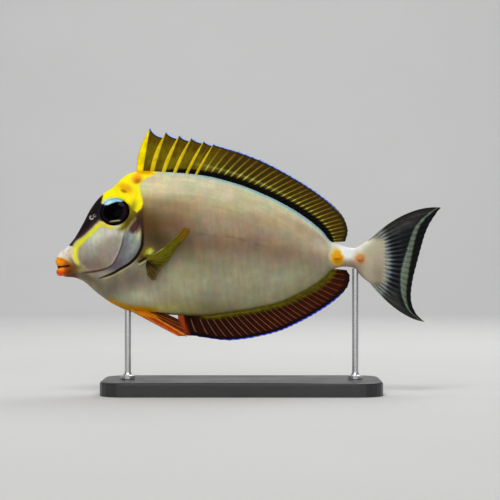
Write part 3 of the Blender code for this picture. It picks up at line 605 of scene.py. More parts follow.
# The head's markings, as seen from the camera.
YELLOW_LINE = [(33.0, 16.9), (29.0, 18.0), (25.9, 18.6), (22.1, 15.4), (18.7, 12.2), (15.7, 9.5), (12.9, 6.9),
               (11.7, 4.4), (11.6, 1.8), (12.0, -0.6), (12.9, -2.6), (13.7, -4.4), (14.0, -5.8)]
YELLOW_LINE_HALF = [(0.0, 0.4), (0.14, 1.1), (0.5, 1.1), (0.62, 1.7), (0.76, 1.5), (0.9, 1.1), (1.0, 0.6)]
MASK_OUTLINE = [(9.2, 6.2), (2.0, 13.0), (10.0, 34.0), (26.0, 47.0), (27.6, 36.0), (29.4, 32.0), (30.0, 24.0),
                (26.5, 19.8), (22.1, 16.4), (19.1, 12.8), (15.5, 9.9), (12.4, 7.3), (10.6, 5.6)]
# The outline of a painted reflection: a pale blue crescent over the eye.
EYE_REFLECTION_OUTLINE = [(27.0, 31.5), (28.9, 30.5), (30.8, 30.1), (33.0, 31.0), (35.3, 31.8), (37.6, 31.6),
                (38.4, 32.2), (37.0, 33.4), (34.4, 34.1), (31.7, 33.9), (29.0, 32.9)]
NAPE_OUTLINE = [(26.8, 31.0), (27.2, 36.0), (20.0, 60.0), (58.5, 60.0), (57.5, 48.3), (53.5, 46.2),
                (50.0, 44.1), (48.2, 41.2), (49.0, 36.3), (50.3, 31.9), (49.2, 28.0), (46.8, 25.6),
                (44.0, 28.0), (42.0, 31.0), (36.0, 30.5), (30.0, 30.5)]
# Dark strands under the temple, each as (top, foot, half-width), and the pale gap beside them.
TEMPLE_STRANDS = [((46.4, 19.0), (43.4, 12.6), 0.6), ((44.9, 18.5), (41.8, 14.2), 0.45),
                  ((48.2, 18.0), (46.6, 12.8), 0.65)]
TEMPLE_GAP = [(45.2, 22.5), (41.4, 16.0)]
# Arcs round the eye: colour, strength, distance from the eye's axis, width, and where each fades in rearward
# and upward.
EYE_SURROUND = [
    ("#665000", 1.25, 9.6, 2.3, (0.0, 6.0), (9.5, 4.0)),
    ("#4f3c06", 0.7, 9.2, 1.4, (2.0, 7.0), (1.0, -4.0)),
    ("#d2cf96", 0.9, 9.1, 1.1, (8.0, 2.0), (-3.0, -6.5)),
    ("#ddd22a", 0.9, 8.9, 0.8, (1.5, -3.0), (-4.0, -6.0)),
]


def face_paint(s, h, gill, cheek, cheek_share):
    """The cheek and the gill cover, with the pale stripe along the gill cover's front."""
    face = Coat("#968d80", s, h)
    face.spot("#c6c9b2", 1.0, (25.0, 13.8), (13.0, 5.5), 35)
    face.spot("#7d685c", 0.9, (22.0, -4.5), (11.0, 4.5))
    face.spot("#8d7f74", 0.6, (31.0, 1.0), (5.0, 7.0))
    cover = ramp(cheek, 0.0, 0.5) * ramp(h, -9.0, -6.0)
    face.lay("#6a6d70", cover * 0.95)
    face.spot("#989f86", cover * 0.7, (46.5, 9.0), (3.0, 5.0), -20)
    face.spot("#5a5058", cover * 0.9, (35.0, -4.5), (6.0, 3.5), 40)
    face.lay("#8b918f", bump(gill + 4.0, 1.8) * cover * ramp(h, -2.0, 4.0) * 0.9)
    face.spot("#a6a89c", cover * 0.7, (43.4, 12.5), (1.2, 5.0), -12)
    face.lay("#b9b5a9", bump(cheek + 0.7, 0.4) * within(cheek_share, 0.0, 0.1, 0.4, 0.75) * 0.7)
    face.spot("#cecbbf", (1 - cover) * 0.9, (31.5, 15.0), (7.0, 3.6))
    face.spot("#bab7ac", 0.8, (39.0, 15.0), (2.2, 5.0), -15)
    face.spot("#47301f", 0.6, (14.5, -9.8), (5.0, 2.0))
    return face.colours * (1 + 0.05 * soft_noise(s / 1.3, h / 1.8, 15)[:, None])


def head_paint(points, colours):
    """The face, snout, eye's surround, temple, nape, the painted reflection over the eye and the gill slit
    with its painted shadow, laid over the given colours.
    """
    s, h = in_view(points)
    coat = Coat(colours, s, h)
    gill, gill_share = path_distance(s, h, GILL_LINE)
    cheek, cheek_share = path_distance(s, h, CHEEK_LINE)
    on_face = ramp(gill, 0.0, -0.6) * ramp(h + 0.9 * s, 8.5, 11.5) * ramp(h, 34.0, 30.0)
    coat.colours += (face_paint(s, h, gill, cheek, cheek_share) - coat.colours) * on_face[:, None]
    coat.lay("#453630", bump(cheek - 0.2, 0.42) * ramp(cheek_share, 0.02, 0.3) * 0.85)
    coat.lay("#5c3a2c", bump(cheek, 0.55) * within(cheek_share, 0.6, 0.8, 0.93, 1.0))
    paint_snout(coat)
    from_eye, along, up = eye_distance(points)
    for colour, strength, away, width, in_along, in_up in EYE_SURROUND:
        coat.lay(colour, strength * bump(from_eye - away, width) * ramp(along, *in_along) * ramp(up, *in_up))
    paint_temple(coat, gill)
    paint_nape(coat)
    reflection = inside_distance(s, h, EYE_REFLECTION_OUTLINE)
    # Painted reflection: a pale blue crescent over the eye, in a pale yellowish halo.
    coat.lay("#d5dba0", ramp(reflection, -1.5, 0.2) * ramp(up, 4.0, 6.5) * 0.8)
    coat.lay("#a9d4ea", ramp(reflection, -0.3, 0.3))
    coat.lay("#0f090c", ramp(from_eye, 7.95, 7.6) * ramp(up, 6.3, 4.8))
    # Painted shadow along the gill slit: soft brown above, black where the slit opens lower down.
    slit_shadow_half = np.interp(gill_share, (0.0, 0.3, 0.42, 0.55, 0.85, 1.0), (0.05, 0.25, 0.6, 0.68, 0.5, 0.1))
    coat.lay("#33220f", bump(gill - 0.3, 1.0) * within(gill_share, 0.05, 0.2, 0.4, 0.6) * 0.7)
    coat.lay("#100804", ramp(np.abs(gill - 0.25), slit_shadow_half + 0.3, slit_shadow_half - 0.1) * ramp(gill_share, 0.2, 0.36))
    coat.lay("#b5a774", bump(gill - 1.4, 0.5) * within(gill_share, 0.55, 0.7, 0.9, 1.0) * 0.8)
    paint_pectoral_base(coat)
    return coat.colours


def paint_nape(coat):
    """The yellow nape with its two orange patches."""
    coat.lay("#f7e400", ramp(inside_distance(*frayed(coat.s, coat.h, 0.25), NAPE_OUTLINE), -0.7, 0.5))
    coat.spot("#8a7a02", 0.85, (44.2, 28.4), (1.9, 4.2), -20)
    coat.oval("#e0a000", 0.9, (1.3, 0.2), (40.4, 39.8), (5.0, 2.9), -25)
    coat.oval("#a86a00", 0.9, (1.5, 0.3), (39.4, 38.1), (1.9, 0.9), -20)
    coat.oval("#dd9000", 0.9, (1.3, 0.3), (47.0, 45.0), (3.8, 3.2), 20)
    coat.oval("#a86400", 0.85, (1.5, 0.3), (47.3, 43.8), (2.0, 1.4), 20)
    coat.lay("#d89400", ramp(back(coat.s) - coat.h, 2.6, 1.0) * within(coat.s, 45.5, 48.0, 54.0, 58.0) * 0.8)


def paint_temple(coat, gill):
    """The purple-brown patch behind the eye, which frays downward, and the cream spot under it."""
    ahead = ramp(gill, 0.9, -0.2)
    coat.oval("#3c1c10", ahead, (1.3, 0.5), (48.4, 20.8), (2.7, 7.2), -8, fray=0.7)
    coat.spot("#573a02", 0.95, (49.4, 26.2), (2.3, 3.4))
    coat.oval("#3a1618", ahead * 0.95, (1.3, 0.5), (46.2, 17.9), (2.2, 4.2), -30, fray=0.7)
    for *ends, half in TEMPLE_STRANDS:
        strand, share = line_distance(coat.s, coat.h, np.array(ends))
        coat.lay("#4a2c2a", ramp(np.abs(strand), half + 0.4, half - 0.3) * ramp(share, 1.0, 0.4) * ahead)
    strand, share = line_distance(coat.s, coat.h, np.array(TEMPLE_GAP))
    coat.lay("#a9a484", ramp(np.abs(strand), 0.7, 0.1) * ramp(share, 0.0, 0.4) * 0.45)
    coat.spot("#c6c884", ahead * 0.9, (48.0, 12.8), (1.5, 3.4), -10)


def paint_pectoral_base(coat):
    """The bright fleshy knob above the pectoral fin, painted shade in the hollow before it and in the groove
    along the fold, and the pale fold under it.
    """
    # Painted shade in the hollow before the knob.
    coat.spot("#43330f", 0.85, (50.8, 0.6), (4.2, 2.8), 40)
    coat.oval("#73600e", 1.0, (1.45, 0.8), *PECTORAL_KNOB, fray=0.5)
    coat.oval("#9aa520", 0.95, (1.15, 0.5), (54.0, 3.4), (3.2, 2.1), 30, fray=0.5)
    coat.spot("#dce09a", 0.75, (54.6, 3.0), (1.7, 1.0), 35)
    fold, share = path_distance(coat.s, coat.h, PECTORAL_FOLD)
    # Painted shade in the groove along the fold.
    coat.lay("#170d02", ramp(np.abs(fold - 0.9), 1.0, 0.4) * within(share, 0.1, 0.4, 0.8, 1.0) * 0.9)
    coat.lay("#b4b087", bump(fold + 0.3, 0.65) * within(share, 0.0, 0.3, 0.6, 1.0) * 0.75)


def paint_snout(coat):
    """The pale snout, the dark mask and the yellow line between them and the cheek."""
    s, h = coat.s, coat.h
    line, share = path_distance(s, h, YELLOW_LINE)
    snout = ramp(s, 12.2, 10.8) * ramp(h + 0.45 * s, -1.0, 1.6)
    coat.lay("#6b4733", ramp(s, 15.5, 10.5) * ramp(h + 0.45 * s, 2.2, -0.6))
    coat.spot("#5f4f44", 0.8, (18.5, -11.6), (8.0, 2.4), -25)
    coat.lay("#dccbab", snout)
    coat.lay("#e6e4da", snout * ramp(h - back(s), -4.6, -1.0))
    coat.lay("#b9ac98", snout * ramp(soft_noise(s / 0.8, h / 0.8, 7), 0.2, 0.8) * 0.5)
    coat.spot("#7a5a3c", 0.9, (9.8, -3.0), (1.7, 3.4), 25)
    coat.spot("#6a4510", 0.7, (11.2, -4.4), (1.4, 2.2), 20)
    coat.spot("#a88068", 0.6, (9.4, -2.6), (0.7, 1.4), 15)
    coat.spot("#3e1c0c", 0.85, (7.6, -10.9), (3.6, 1.5))
    mask = inside_distance(*frayed(s, h, 0.35), MASK_OUTLINE)
    coat.lay("#140a10", ramp(mask, -0.5, 0.4))
    coat.lay("#4d3230", ramp(mask, -0.2, 0.4) * bump(np.abs(line) - 2.2, 1.6) * ramp(share, 0.1, 0.3) * 0.85)
    for place_s, place_h, radius in NOSTRILS:
        away = np.hypot(s - place_s, h - place_h)
        # Painted highlight on each nostril's rim, on its lower front side, and painted shade in its hole.
        lit = ramp(s - place_s + h - place_h, 2.2, -0.4)
        coat.lay("#e2d6cc", bump(away - radius, 0.4) * min(1.0, radius) * lit)
        coat.lay("#120a0c", ramp(away, radius * 0.75, radius * 0.4))
    half = np.interp(share, *np.array(YELLOW_LINE_HALF).T)
    low = ramp(share, 0.45, 0.7)
    coat.lay("#dfdca0", ramp(np.abs(line), half + 1.6, half) * ramp(share, 1.0, 0.9) * (line < 0) * 0.85)
    coat.lay("#e2dc10", ramp(np.abs(line), half + 0.8, half - 1.1) * ramp(share, 1.0, 0.9) * (1 - 0.25 * low))
    coat.lay("#ecec50", bump(line, 0.9) * low * ramp(share, 0.98, 0.85) * 0.6)
    coat.spot("#75601a", 0.7, (13.0, -6.4), (2.2, 1.5))
    coat.spot("#a8904c", 0.85, (15.0, -7.2), (2.2, 1.2))


def caudal_foot(h):
    """Where the pale scaly foot of the tail fin ends."""
    return 189.4 - 0.012 * (h + 3) ** 2


def paint_tail(coat):
    """The white tail stalk with its two orange patches, and the cream foot of the tail fin."""
    s, h = coat.s, coat.h
    coat.lay("#dfe5e1", within(s, 156.0, 161.5, 174.0, 181.0) * ramp(h, -4.2, 0.8))
    coat.lay("#a08c78", within(s, 156.0, 161.0, 174.0, 182.0) * ramp(h, -0.5, -4.8))
    coat.lay("#b3a991", ramp(s, 174.0, 181.5))
    coat.lay("#8d846b", ramp(s, 177.0, 186.0) * ramp(h, 2.0, -10.0) * 0.8)
    coat.lay("#d9d3c2", bump(back(s) - h, 3.0) * within(s, 172.0, 176.0, 180.0, 190.0))
    coat.spot("#dcae98", 0.6, (161.0, 5.0), (2.0, 1.8))
    coat.oval("#e0c08a", 0.6, (1.1, 0.6), (161.4, 0.2), (4.8, 6.2), 8, fray=0.5)
    coat.oval("#d99a08", 1.0, (1.15, 0.6), (162.0, -0.4), (3.9, 5.0), 8, fray=0.5)
    coat.oval("#c9ad84", 0.8, (1.2, 0.3), (174.8, 0.2), (4.8, 5.0), fray=0.5)
    coat.oval("#bd8046", 0.9, (1.3, 0.4), (175.3, -1.0), (3.0, 3.2), fray=0.5)
    outer = np.maximum(ramp(h, 8.5, 13.5), ramp(h, -12.5, -18.0)) * ramp(s, 178.0, 186.0)
    coat.lay("#4c4c47", outer * 0.9)


def skin_paint(points):
    """The skin's colours and how wet it looks."""
    s, h = in_view(points)
    coat = Coat(trunk_paint(points[:, 0], points[:, 2]), s, h)
    keel, above = np.interp(s, (28, 33, 44, 54), (1.4, 3.0, 3.6, 3.8)), h - belly(s)
    coat.lay("#b28308", ramp(above, keel + 1.0, keel - 1.4) * within(s, 28, 33, 54, 62))
    coat.lay("#c67a04", ramp(above, keel * 0.8, keel * 0.2) * within(s, 28, 32, 54, 62) * 0.9)
    paint_tail(coat)
    for painter, end in ((head_paint, HEAD_PAINT_END), (mouth_paint, MOUTH_PAINT_END)):
        ahead = s < end
        coat.colours[ahead] = painter(points[ahead], coat.colours[ahead])
    return coat.colours, ramp(s, 12.0, 8.0)


def mouth_paint(points, colours):
    """Orange lips that run back into the skin, with a painted highlight along the upper lip's lower edge and
    painted shade for the dark mouth between them.
    """
    s, h = points[:, 0], points[:, 2]
    _, upper, lower = snout_parts(points)
    coat = Coat(colours, s, h)
    line = np.interp(s, (0.0, 5.0, 9.6, 12.0), (-5.6, -5.2, -4.7, -4.6))
    lip_top, lip_foot = (np.interp(s, LIP_EDGE_PLACES, edge) for edge in (UPPER_LIP_EDGE, LOWER_LIP_EDGE))
    rear, from_line = ramp(s, 4.2, 7.8), np.abs(h - line)
    above = ramp(h - lip_top, 1.2, -0.8) * (h > line)
    coat.lay("#ee8408", above * ramp(s, 11.0, 8.2))
    coat.spot("#fba800", above, (0.9, -2.7), (2.4, 2.0))
    coat.spot("#dc5410", above * 0.8, (4.4, -1.2), (1.3, 0.9))
    # Painted highlight along the upper lip's lower edge, towards the front.
    coat.lay("#f2a060", above * ramp(h - line, 1.5, 0.7) * ramp(s, 5.5, 2.0) * 0.6)
    coat.lay("#84511c", above * ramp(s, 12.6, 10.6) * rear * 0.95)
    below = ramp(h - lip_foot, -1.0, 0.7) * (h <= line)
    coat.lay("#e04c04", below * ramp(s, 11.0, 8.2))
    coat.lay("#6e3c14", ramp(s, 12.0, 8.8) * rear * (h <= line) * 0.9)
    coat.lay("#f7981c", below * ramp(h, -8.6, -6.8) * ramp(s, 7.0, 3.5) * 0.85)
    # Painted shade: the mouth between the lips, dark where the lips part.
    gap = ramp(np.minimum(upper, lower), 0.10, 0.45)
    coat.lay("#1a0805", gap * ramp(from_line, 1.5, 0.7) * ramp(s, 9.2, 7.2))
    # Painted shade along the slit between the lips, dark red.
    coat.lay("#3a0a05", ramp(from_line, 0.65, 0.25) * within(s, 3.0, 5.0, 7.5, 9.0) * 0.9)
    return coat.colours


# Where a ridge's columns lie between its front edge, -1, and its rear edge, 1.
RIDGE = (-1.0, -0.85, -0.5, 0.0, 0.5, 0.85, 1.0)
FORKED_RIDGE = (-1.0, -0.9, -0.7, -0.5, -0.3, -0.12, 0.0, 0.12, 0.3, 0.5, 0.7, 0.9, 1.0)
ACROSS = np.array([0.0, 1.0, 0.0])


class Fin:
    """A fin as one closed sheet: ridges along its rays, thin membrane between, and a margin that may dip.

    Each ray's half-widths and heights are given at the shares STOPS of its length. Between two rays the
    membrane has the given number of columns. A dip is how much shorter the membrane is than its rays, just
    ahead of each ray. Where split is given, each ray turns from one crest into two between those shares.
    """

    STOPS = (0.0, 0.35, 0.6, 0.8, 1.0)
    WEB_AT_ROOT, WEB_AT_MARGIN = 0.3, 0.15
    WIDEST_SHARE = 0.42
    MARGIN_TAPER, MARGIN_THICKNESS = 0.03, 0.04
    WAVE = 0.15
    FACTS = ("u", "v", "crest", "along", "rim")

    def __init__(self, roots, tips, bows, half_widths, heights, webs, rows, dips, across=ACROSS, ridge=RIDGE,
                 split=None):
        self.roots, self.tips, self.bows = (np.array(part, float) for part in (roots, tips, bows))
        self.half_widths, self.heights, self.dips = half_widths, heights, dips
        self.webs, self.rows, self.across, self.ridge, self.split = webs, rows, across, ridge, split
        self.lengths = np.linalg.norm(self.tips - self.roots, axis=1)

    def at(self, i, v):
        """Points on ray i at the shares v of its length."""
        v = v[:, None]
        return self.roots[i] + (self.tips[i] - self.roots[i]) * v + self.bows[i] * 4 * v * (1 - v)

    def flank(self, i, f, v):
        """A line on ray i's ridge, f from -1 at its front edge to 1 at its rear, and its place across."""
        last = len(self.roots) - 1
        step, flip = (1, 1.0) if f >= 0 else (-1, 1.0)
        if not 0 <= i + step <= last:
            step, flip = -step, -1.0
        crest = self.at(i, v)
        reach = self.at(i + step, v) - crest
        gap = np.linalg.norm(reach, axis=1)
        half = np.minimum(np.interp(v, self.STOPS, self.half_widths[i]), gap * self.WIDEST_SHARE)
        return crest + reach * (flip * abs(f) * half / gap)[:, None], i + f * half / gap

    def crest(self, f, v):
        """How high a ridge stands at f, from 0 to 1."""
        if not self.split:
            return np.full(len(v), math.sqrt(1 - f * f))
        centre = 0.5 * ramp(v, *self.split)
        nearest = np.abs(abs(f) - centre) / (1 - centre)
        return np.sqrt(np.clip(1 - nearest**2, 0, 1))

    def column(self, i, f, g):
        """One column of the sheet, at f on ray i or, without f, at the share g of the gap behind it.

        Given are its middle line, its half-thickness and the facts that its paint goes by.
        """
        after = min(i + 1, len(self.roots) - 1)
        if f is None:
            end = 1 - self.dips[after] * (1 - (1 - g) ** 2.5)
            v = np.where(self.rows > 0, self.rows * end, self.rows)
            (rear, rear_u), (front, front_u) = self.flank(i, 1.0, v), self.flank(after, -1.0, v)
            middle, u, crest = rear * (1 - g) + front * g, rear_u * (1 - g) + front_u * g, 0 * v
            heights = crest
        else:
            end = 1 - self.dips[i] * ramp(f, -0.5, -1.0) if f < 0 else 1.0
            v = np.where(self.rows > 0, self.rows * end, self.rows)
            middle, u = self.flank(i, f, v)
            crest = self.crest(f, v)
            heights = crest * np.interp(v, self.STOPS, self.heights[i])
        thick = self.WEB_AT_ROOT + (self.WEB_AT_MARGIN - self.WEB_AT_ROOT) * np.clip(v, 0, 1)
        taper = (1.004 - self.rows) / self.MARGIN_TAPER
        thick = (thick + heights) * np.sqrt(np.clip(taper, self.MARGIN_THICKNESS, 1))
        length = np.interp(u, np.arange(len(self.lengths)), self.lengths)
        return middle, thick, np.column_stack([u, v, crest, v * length, (end - v) * length])

    def columns(self):
        """All columns, over each ridge and each gap in turn."""
        last = len(self.roots) - 1
        for i in range(last + 1):
            for f in self.ridge:
                yield self.column(i, f, 0.0)
            for g in np.linspace(0, 1, self.webs + 2)[1:-1] if i < last else ():
                yield self.column(i, None, g)

    def build(self, name, painter, wave=WAVE):
        """The fin's mesh: two faces and the rim between them, waving gently to either side."""
        middles, thicks, facts = (np.stack(part) for part in zip(*self.columns()))
        u, v = facts[..., 0], np.clip(facts[..., 1], 0, 1)
        middles = middles + self.across * (wave * np.sin(u * 0.9 + 2.0 * v) * v**1.5)[..., None]
        outward = self.across * thicks[..., None]
        points = np.stack([middles - outward, middles + outward])
        index = np.arange(points.size // 3).reshape(points.shape[:3])
        near, far = (np.concatenate([face[:, 0], face[-1, 1:], face[-2::-1, -1], face[0, -2:0:-1]])
                     for face in index)
        edge = np.stack([np.roll(near, -1), near, far, np.roll(far, -1)], axis=1)
        faces = np.concatenate([grid_faces(index[0]), grid_faces(index[1])[:, ::-1], edge]).tolist()
        points = points.reshape(-1, 3)
        facts = np.tile(facts.reshape(-1, len(self.FACTS)), (2, 1)).T
        sheet = SimpleNamespace(**dict(zip(self.FACTS, facts)), s=points[:, 0], h=points[:, 2])
        return made_mesh(name, points, faces, painter(sheet), {"Crest": sheet.crest, "Along": sheet.along})


def fin_rows(count, below):
    """Rows from below the skin to the margin, closer together near the margin."""
    t = np.linspace(0, 1, count)
    shares = 1 - (1 - t) ** 1.35
    return np.concatenate([[-below, -below / 2], shares])


def margin_tips(margin, places):
    """A fin's margin at the given places along its root, from rows of (place, s, h)."""
    along, *columns = zip(*margin)
    return [smooth_line(list(zip(along, column)))(places) for column in columns]


def fan_normal(roots, tips):
    """The direction across a fin whose rays open like a fan."""
    across = np.cross(roots[-1] - roots[0], tips[0] - roots[0] + tips[-1] - roots[-1])
    return across / np.linalg.norm(across)


# The half-widths and heights of spines and soft rays. A spine's own width scales its half-widths.
SPINE_HALF_WIDTHS, SPINE_HEIGHTS = np.array([0.92, 1.0, 0.8, 0.45, 0.06]), (0.75, 0.75, 0.6, 0.4, 0.1)
FIRST_SPINE_HEIGHTS = (1.0, 1.0, 0.8, 0.5, 0.1)
SOFT_HALF_WIDTHS, SOFT_HEIGHTS = (0.45, 0.55, 0.5, 0.42, 0.3), (0.32, 0.3, 0.25, 0.2, 0.12)
SPINE_BOW, SOFT_BOW = -1.1, -0.6

DORSAL = {
    "spine_roots": (48.6, 55.5, 62.1, 68.4, 75.3, 80.6),
    "spine_widths": (2.2, 1.5, 1.35, 1.2, 1.05, 0.9),
    "first_soft": 84.4, "soft_rays": 30, "crowding": 1.4, "sunk": -0.6,
    "dips": (0.0, 0.13, 0.08, 0.075, 0.06, 0.05, 0.009),
    "margin": [(48.0, 53.8, 74.6), (55.5, 63.8, 72.3), (62.1, 71.6, 70.4), (75.3, 85.7, 67.1),
               (80.6, 91.2, 65.4), (84.2, 96.0, 63.9), (91.9, 106.0, 60.9), (102.8, 119.2, 55.8),
               (112.1, 129.9, 50.4), (123.6, 142.0, 43.3), (134.2, 152.5, 36.3), (143.8, 160.8, 29.1),
               (150.6, 166.5, 21.5), (155.5, 168.2, 14.6), (158.0, 166.8, 9.4)],
}
ANAL = {
    "spine_roots": (72.2, 77.4),
    "spine_widths": (1.8, 0.7),
    "first_soft": 82.3, "soft_rays": 28, "crowding": 1.2, "sunk": 0.6,
    "dips": (0.0, 0.03, 0.01),
    "margin": [(71.7, 75.6, -45.0), (77.3, 82.0, -45.7), (82.3, 89.1, -46.7), (88.4, 99.0, -47.9),
               (94.7, 107.7, -47.2), (104.6, 119.4, -45.1), (114.0, 129.6, -42.3), (124.5, 139.2, -38.0),
               (137.4, 151.8, -31.1), (148.5, 163.0, -22.9), (153.2, 168.2, -16.6), (156.2, 169.6, -11.2),
               (158.2, 167.6, -7.6)],
}


def ray_band(u, half, soft=0.1):
    """1 on the rays and 0 between them, for rays of the given half-width in shares of their spacing."""
    return ramp(np.abs(u - np.round(u)), half + soft, half - soft)


def median_fin(edge, spine_roots, spine_widths, first_soft, soft_rays, crowding, sunk, dips, margin):
    """A fin on the back or belly edge: spines first, then soft rays that crowd together towards the tail."""
    shares = 1 - (1 - np.linspace(0, 1, soft_rays)) ** crowding
    places = np.concatenate([spine_roots, first_soft + (margin[-1][0] - first_soft) * shares])
    tip_s, tip_h = margin_tips(margin, places)
    spines, count = len(spine_roots), len(places)
    level = np.zeros(count)
    roots = np.column_stack([places, level, edge(places) + sunk])
    tips = np.column_stack([tip_s, level, tip_h])
    bows = np.zeros((count, 3))
    bows[:spines, 0] = SPINE_BOW * (1 - np.arange(spines) / spines)
    bows[spines:, 0] = SOFT_BOW
    widths = [width * SPINE_HALF_WIDTHS for width in spine_widths] + [SOFT_HALF_WIDTHS] * soft_rays
    heights = [FIRST_SPINE_HEIGHTS] + [SPINE_HEIGHTS] * (spines - 1) + [SOFT_HEIGHTS] * soft_rays
    all_dips = list(dips) + [dips[-1]] * (count - len(dips))
    return Fin(roots, tips, bows, widths, heights, webs=6, rows=fin_rows(46, below=0.12), dips=all_dips)


def dorsal_paint(sheet):
    """Yellow spines on olive membrane, then dark membrane with fine pale rays and a black foot."""
    u, v, rim = sheet.u, sheet.v, sheet.rim
    soft = ramp(u, 5.45, 5.6)
    coat = Coat("#6b5d04", sheet.s)
    coat.lay("#564200", ramp(v, 0.45, 0.85))
    coat.lay("#2e2103", ramp(u, 5.0, 9.0) * 0.92)
    fine = 0.5 + 0.5 * soft_noise(u * 7, v * 3, 13)
    coat.lay("#4c3200", (1 - soft) * ramp(soft_noise(u * 5, v * 4, 14), 0, 0.7) * 0.6)
    coat.lay("#7c7208", fine * (1 - soft) * ramp(v, 0.9, 0.3) * 0.3)
    coat.lay("#5c4204", fine * soft * ramp(rim, 1.0, 3.0) * 0.35)
    coat.lay("#3d2c02", (1 - soft) * bump(v - 0.02, 0.1) * 0.6)
    band = np.interp(u, (1.6, 2.6, 4.0, 8.0, 20.0, 35.0), (0.0, 0.09, 0.15, 0.19, 0.24, 0.3))
    stroke = np.interp(v - band, (-0.06, 0.08, 0.35, 0.8), (0.03, 0.13, 0.07, 0.03))
    rays = ray_band(u, stroke, 0.08) * soft * ramp(v, band - 0.06, band + 0.05)
    coat.lay("#565008", ray_band(u, 0.2, 0.16) * soft * ramp(v, band, band + 0.1) * ramp(v, 0.7, 0.4))
    coat.lay("#5a4006", ray_band(u, 0.2, 0.14) * soft * ramp(v, 0.3, 0.6) * ramp(rim, 0.8, 3.0) * 0.9)
    coat.lay("#040201", ramp(v, band + 0.05, band - 0.02) * ramp(u, 1.4, 2.4))
    outward = np.interp(v, (0.3, 0.7, 0.95), (1.0, 0.75, 0.2))
    coat.lay("#a8a030", rays * outward * np.interp(u, (6, 20, 35), (1.0, 0.9, 0.6)))
    pale = np.interp(u, (3.0, 5.0, 10.0, 35.0), (0.30, 0.33, 0.33, 0.38))
    coat.lay("#8e9668", bump(v - pale, 0.03) * within(u, 3.7, 4.6, 12.0, 26.0) * (0.3 + 0.4 * fine))
    coat.lay("#d4dc6c", bump(v - pale, 0.05) * rays * 0.6)
    spine = ramp(sheet.crest, 0.02, 0.35) * (1 - soft)
    later = ramp(u, 0.4, 1.2)
    coat.lay("#f4dc00", spine * ramp(rim, 0.9, 1.9) * (1 - 0.4 * later))
    coat.lay("#dcc018", spine * ramp(rim, 0.9, 1.9) * later * 0.8)
    coat.lay("#b08a00", spine * ramp(sheet.crest, 0.7, 0.1) * 0.7)
    coat.lay("#c8920c", ramp(sheet.along, 1.8, 0.0) * ramp(u, 1.5, 0.9) * 0.6)
    fade = ramp(u, 31.0, 22.0)
    coat.lay("#0a0a14", ramp(rim, 1.7, 0.9) * (0.3 + 0.7 * fade) * (1 - spine * ramp(rim, 0.8, 1.6)) * 0.9)
    coat.lay("#a9bdf0", ramp(rim, 0.95, 0.6) * fade)
    coat.lay("#3a55c8", bump(rim - 0.95, 0.25) * fade * ramp(u, 5.0, 8.0) * 0.6)
    return coat.colours


def anal_paint(sheet):
    """Rust brown with fine rays, an olive foot and a blue edge."""
    u, v, rim = sheet.u, sheet.v, sheet.rim
    coat = Coat("#270701", sheet.s)
    coat.lay("#280c02", ramp(u, 10, 24) * 0.8)
    glow = ramp(v, 0.2, 0.4) * ramp(rim, 1.8, 3.6) * ramp(u, 2, 12)
    coat.lay("#5c2204", ray_band(u, 0.2, 0.14) * glow * 0.8)
    strong = np.interp(u, (0, 12, 20, 29), (1.0, 0.8, 0.5, 0.15))
    coat.lay("#946a50", ray_band(u, 0.06, 0.06) * ramp(v, 0.12, 0.25) * ramp(rim, 1.6, 4.0) * strong)
    coat.lay("#5a3626", ray_band(u + 0.5, 0.04, 0.06) * ramp(v, 0.2, 0.35) * ramp(rim, 2.0, 5.0) * 0.6)
    foot = np.interp(u, (0, 14, 24, 30), (0.19, 0.22, 0.3, 0.44)) + 0.06 * ray_band(u, 0.1, 0.3)
    green = ramp(v, foot + 0.08, foot - 0.12) * ramp(u, 1.0, 3.5)
    coat.lay("#6e6c08", green * (0.75 + 0.25 * soft_noise(u * 1.7, sheet.along / 0.9, 12)))
    coat.lay("#34380a", green * ray_band(u + 0.5, 0.1, 0.16) * ramp(u, 10, 18) * ramp(v, 0.05, 0.2) * 0.8)
    coat.lay("#8a8420", bump(sheet.along - 1.7, 0.5) * within(u, 2.0, 4.0, 10, 16) * 0.6)
    first = ramp(u, 0.42, 0.3)
    coat.lay("#a02e04", first)
    coat.lay("#c25a30", first * bump(sheet.crest - 0.75, 0.35) * 0.8)
    fade = ramp(u, 27.0, 22.0)
    coat.lay("#060308", ramp(rim, 2.8, 1.4) * 0.92 * (1 - 0.8 * first) * (0.3 + 0.7 * fade))
    ahead = ramp(u, 1.0, 5.0)
    coat.lay("#141c9a", ramp(rim, 1.1, 0.75) * fade * (0.35 + 0.65 * ahead))
    coat.lay("#6c86ee", ramp(rim, 0.7, 0.4) * fade * ahead * (0.45 + 0.55 * np.sin(u * 3.1) ** 2))
    return coat.colours


CAUDAL_RAYS = 20
CAUDAL_MARGIN = [(0.0, 221.4, 28.2), (0.08, 217.6, 23.2), (0.2, 213.4, 15.6), (0.36, 210.4, 6.0),
                 (0.5, 208.0, -3.0), (0.64, 205.6, -12.5), (0.8, 204.4, -23.0), (0.92, 206.6, -31.4),
                 (1.0, 211.9, -36.8)]
CAUDAL_ROOT_S, CAUDAL_ROOT_TOP, CAUDAL_ROOT_LOW = BODY_END + 0.3, 10.5, -15.0
CAUDAL_BOW = (5.0, -4.0)
# The pale band of the tail fin, as (share across the fin, distance from the margin, half-width).
PALE_BAND = [(0.0, 2.0, 0.3), (0.08, 5.8, 0.9), (0.14, 7.0, 1.2), (0.3, 6.6, 1.4), (0.5, 5.8, 1.9),
             (0.62, 5.2, 2.1), (0.8, 4.6, 1.5), (0.92, 4.6, 0.7), (1.0, 2.0, 0.3)]


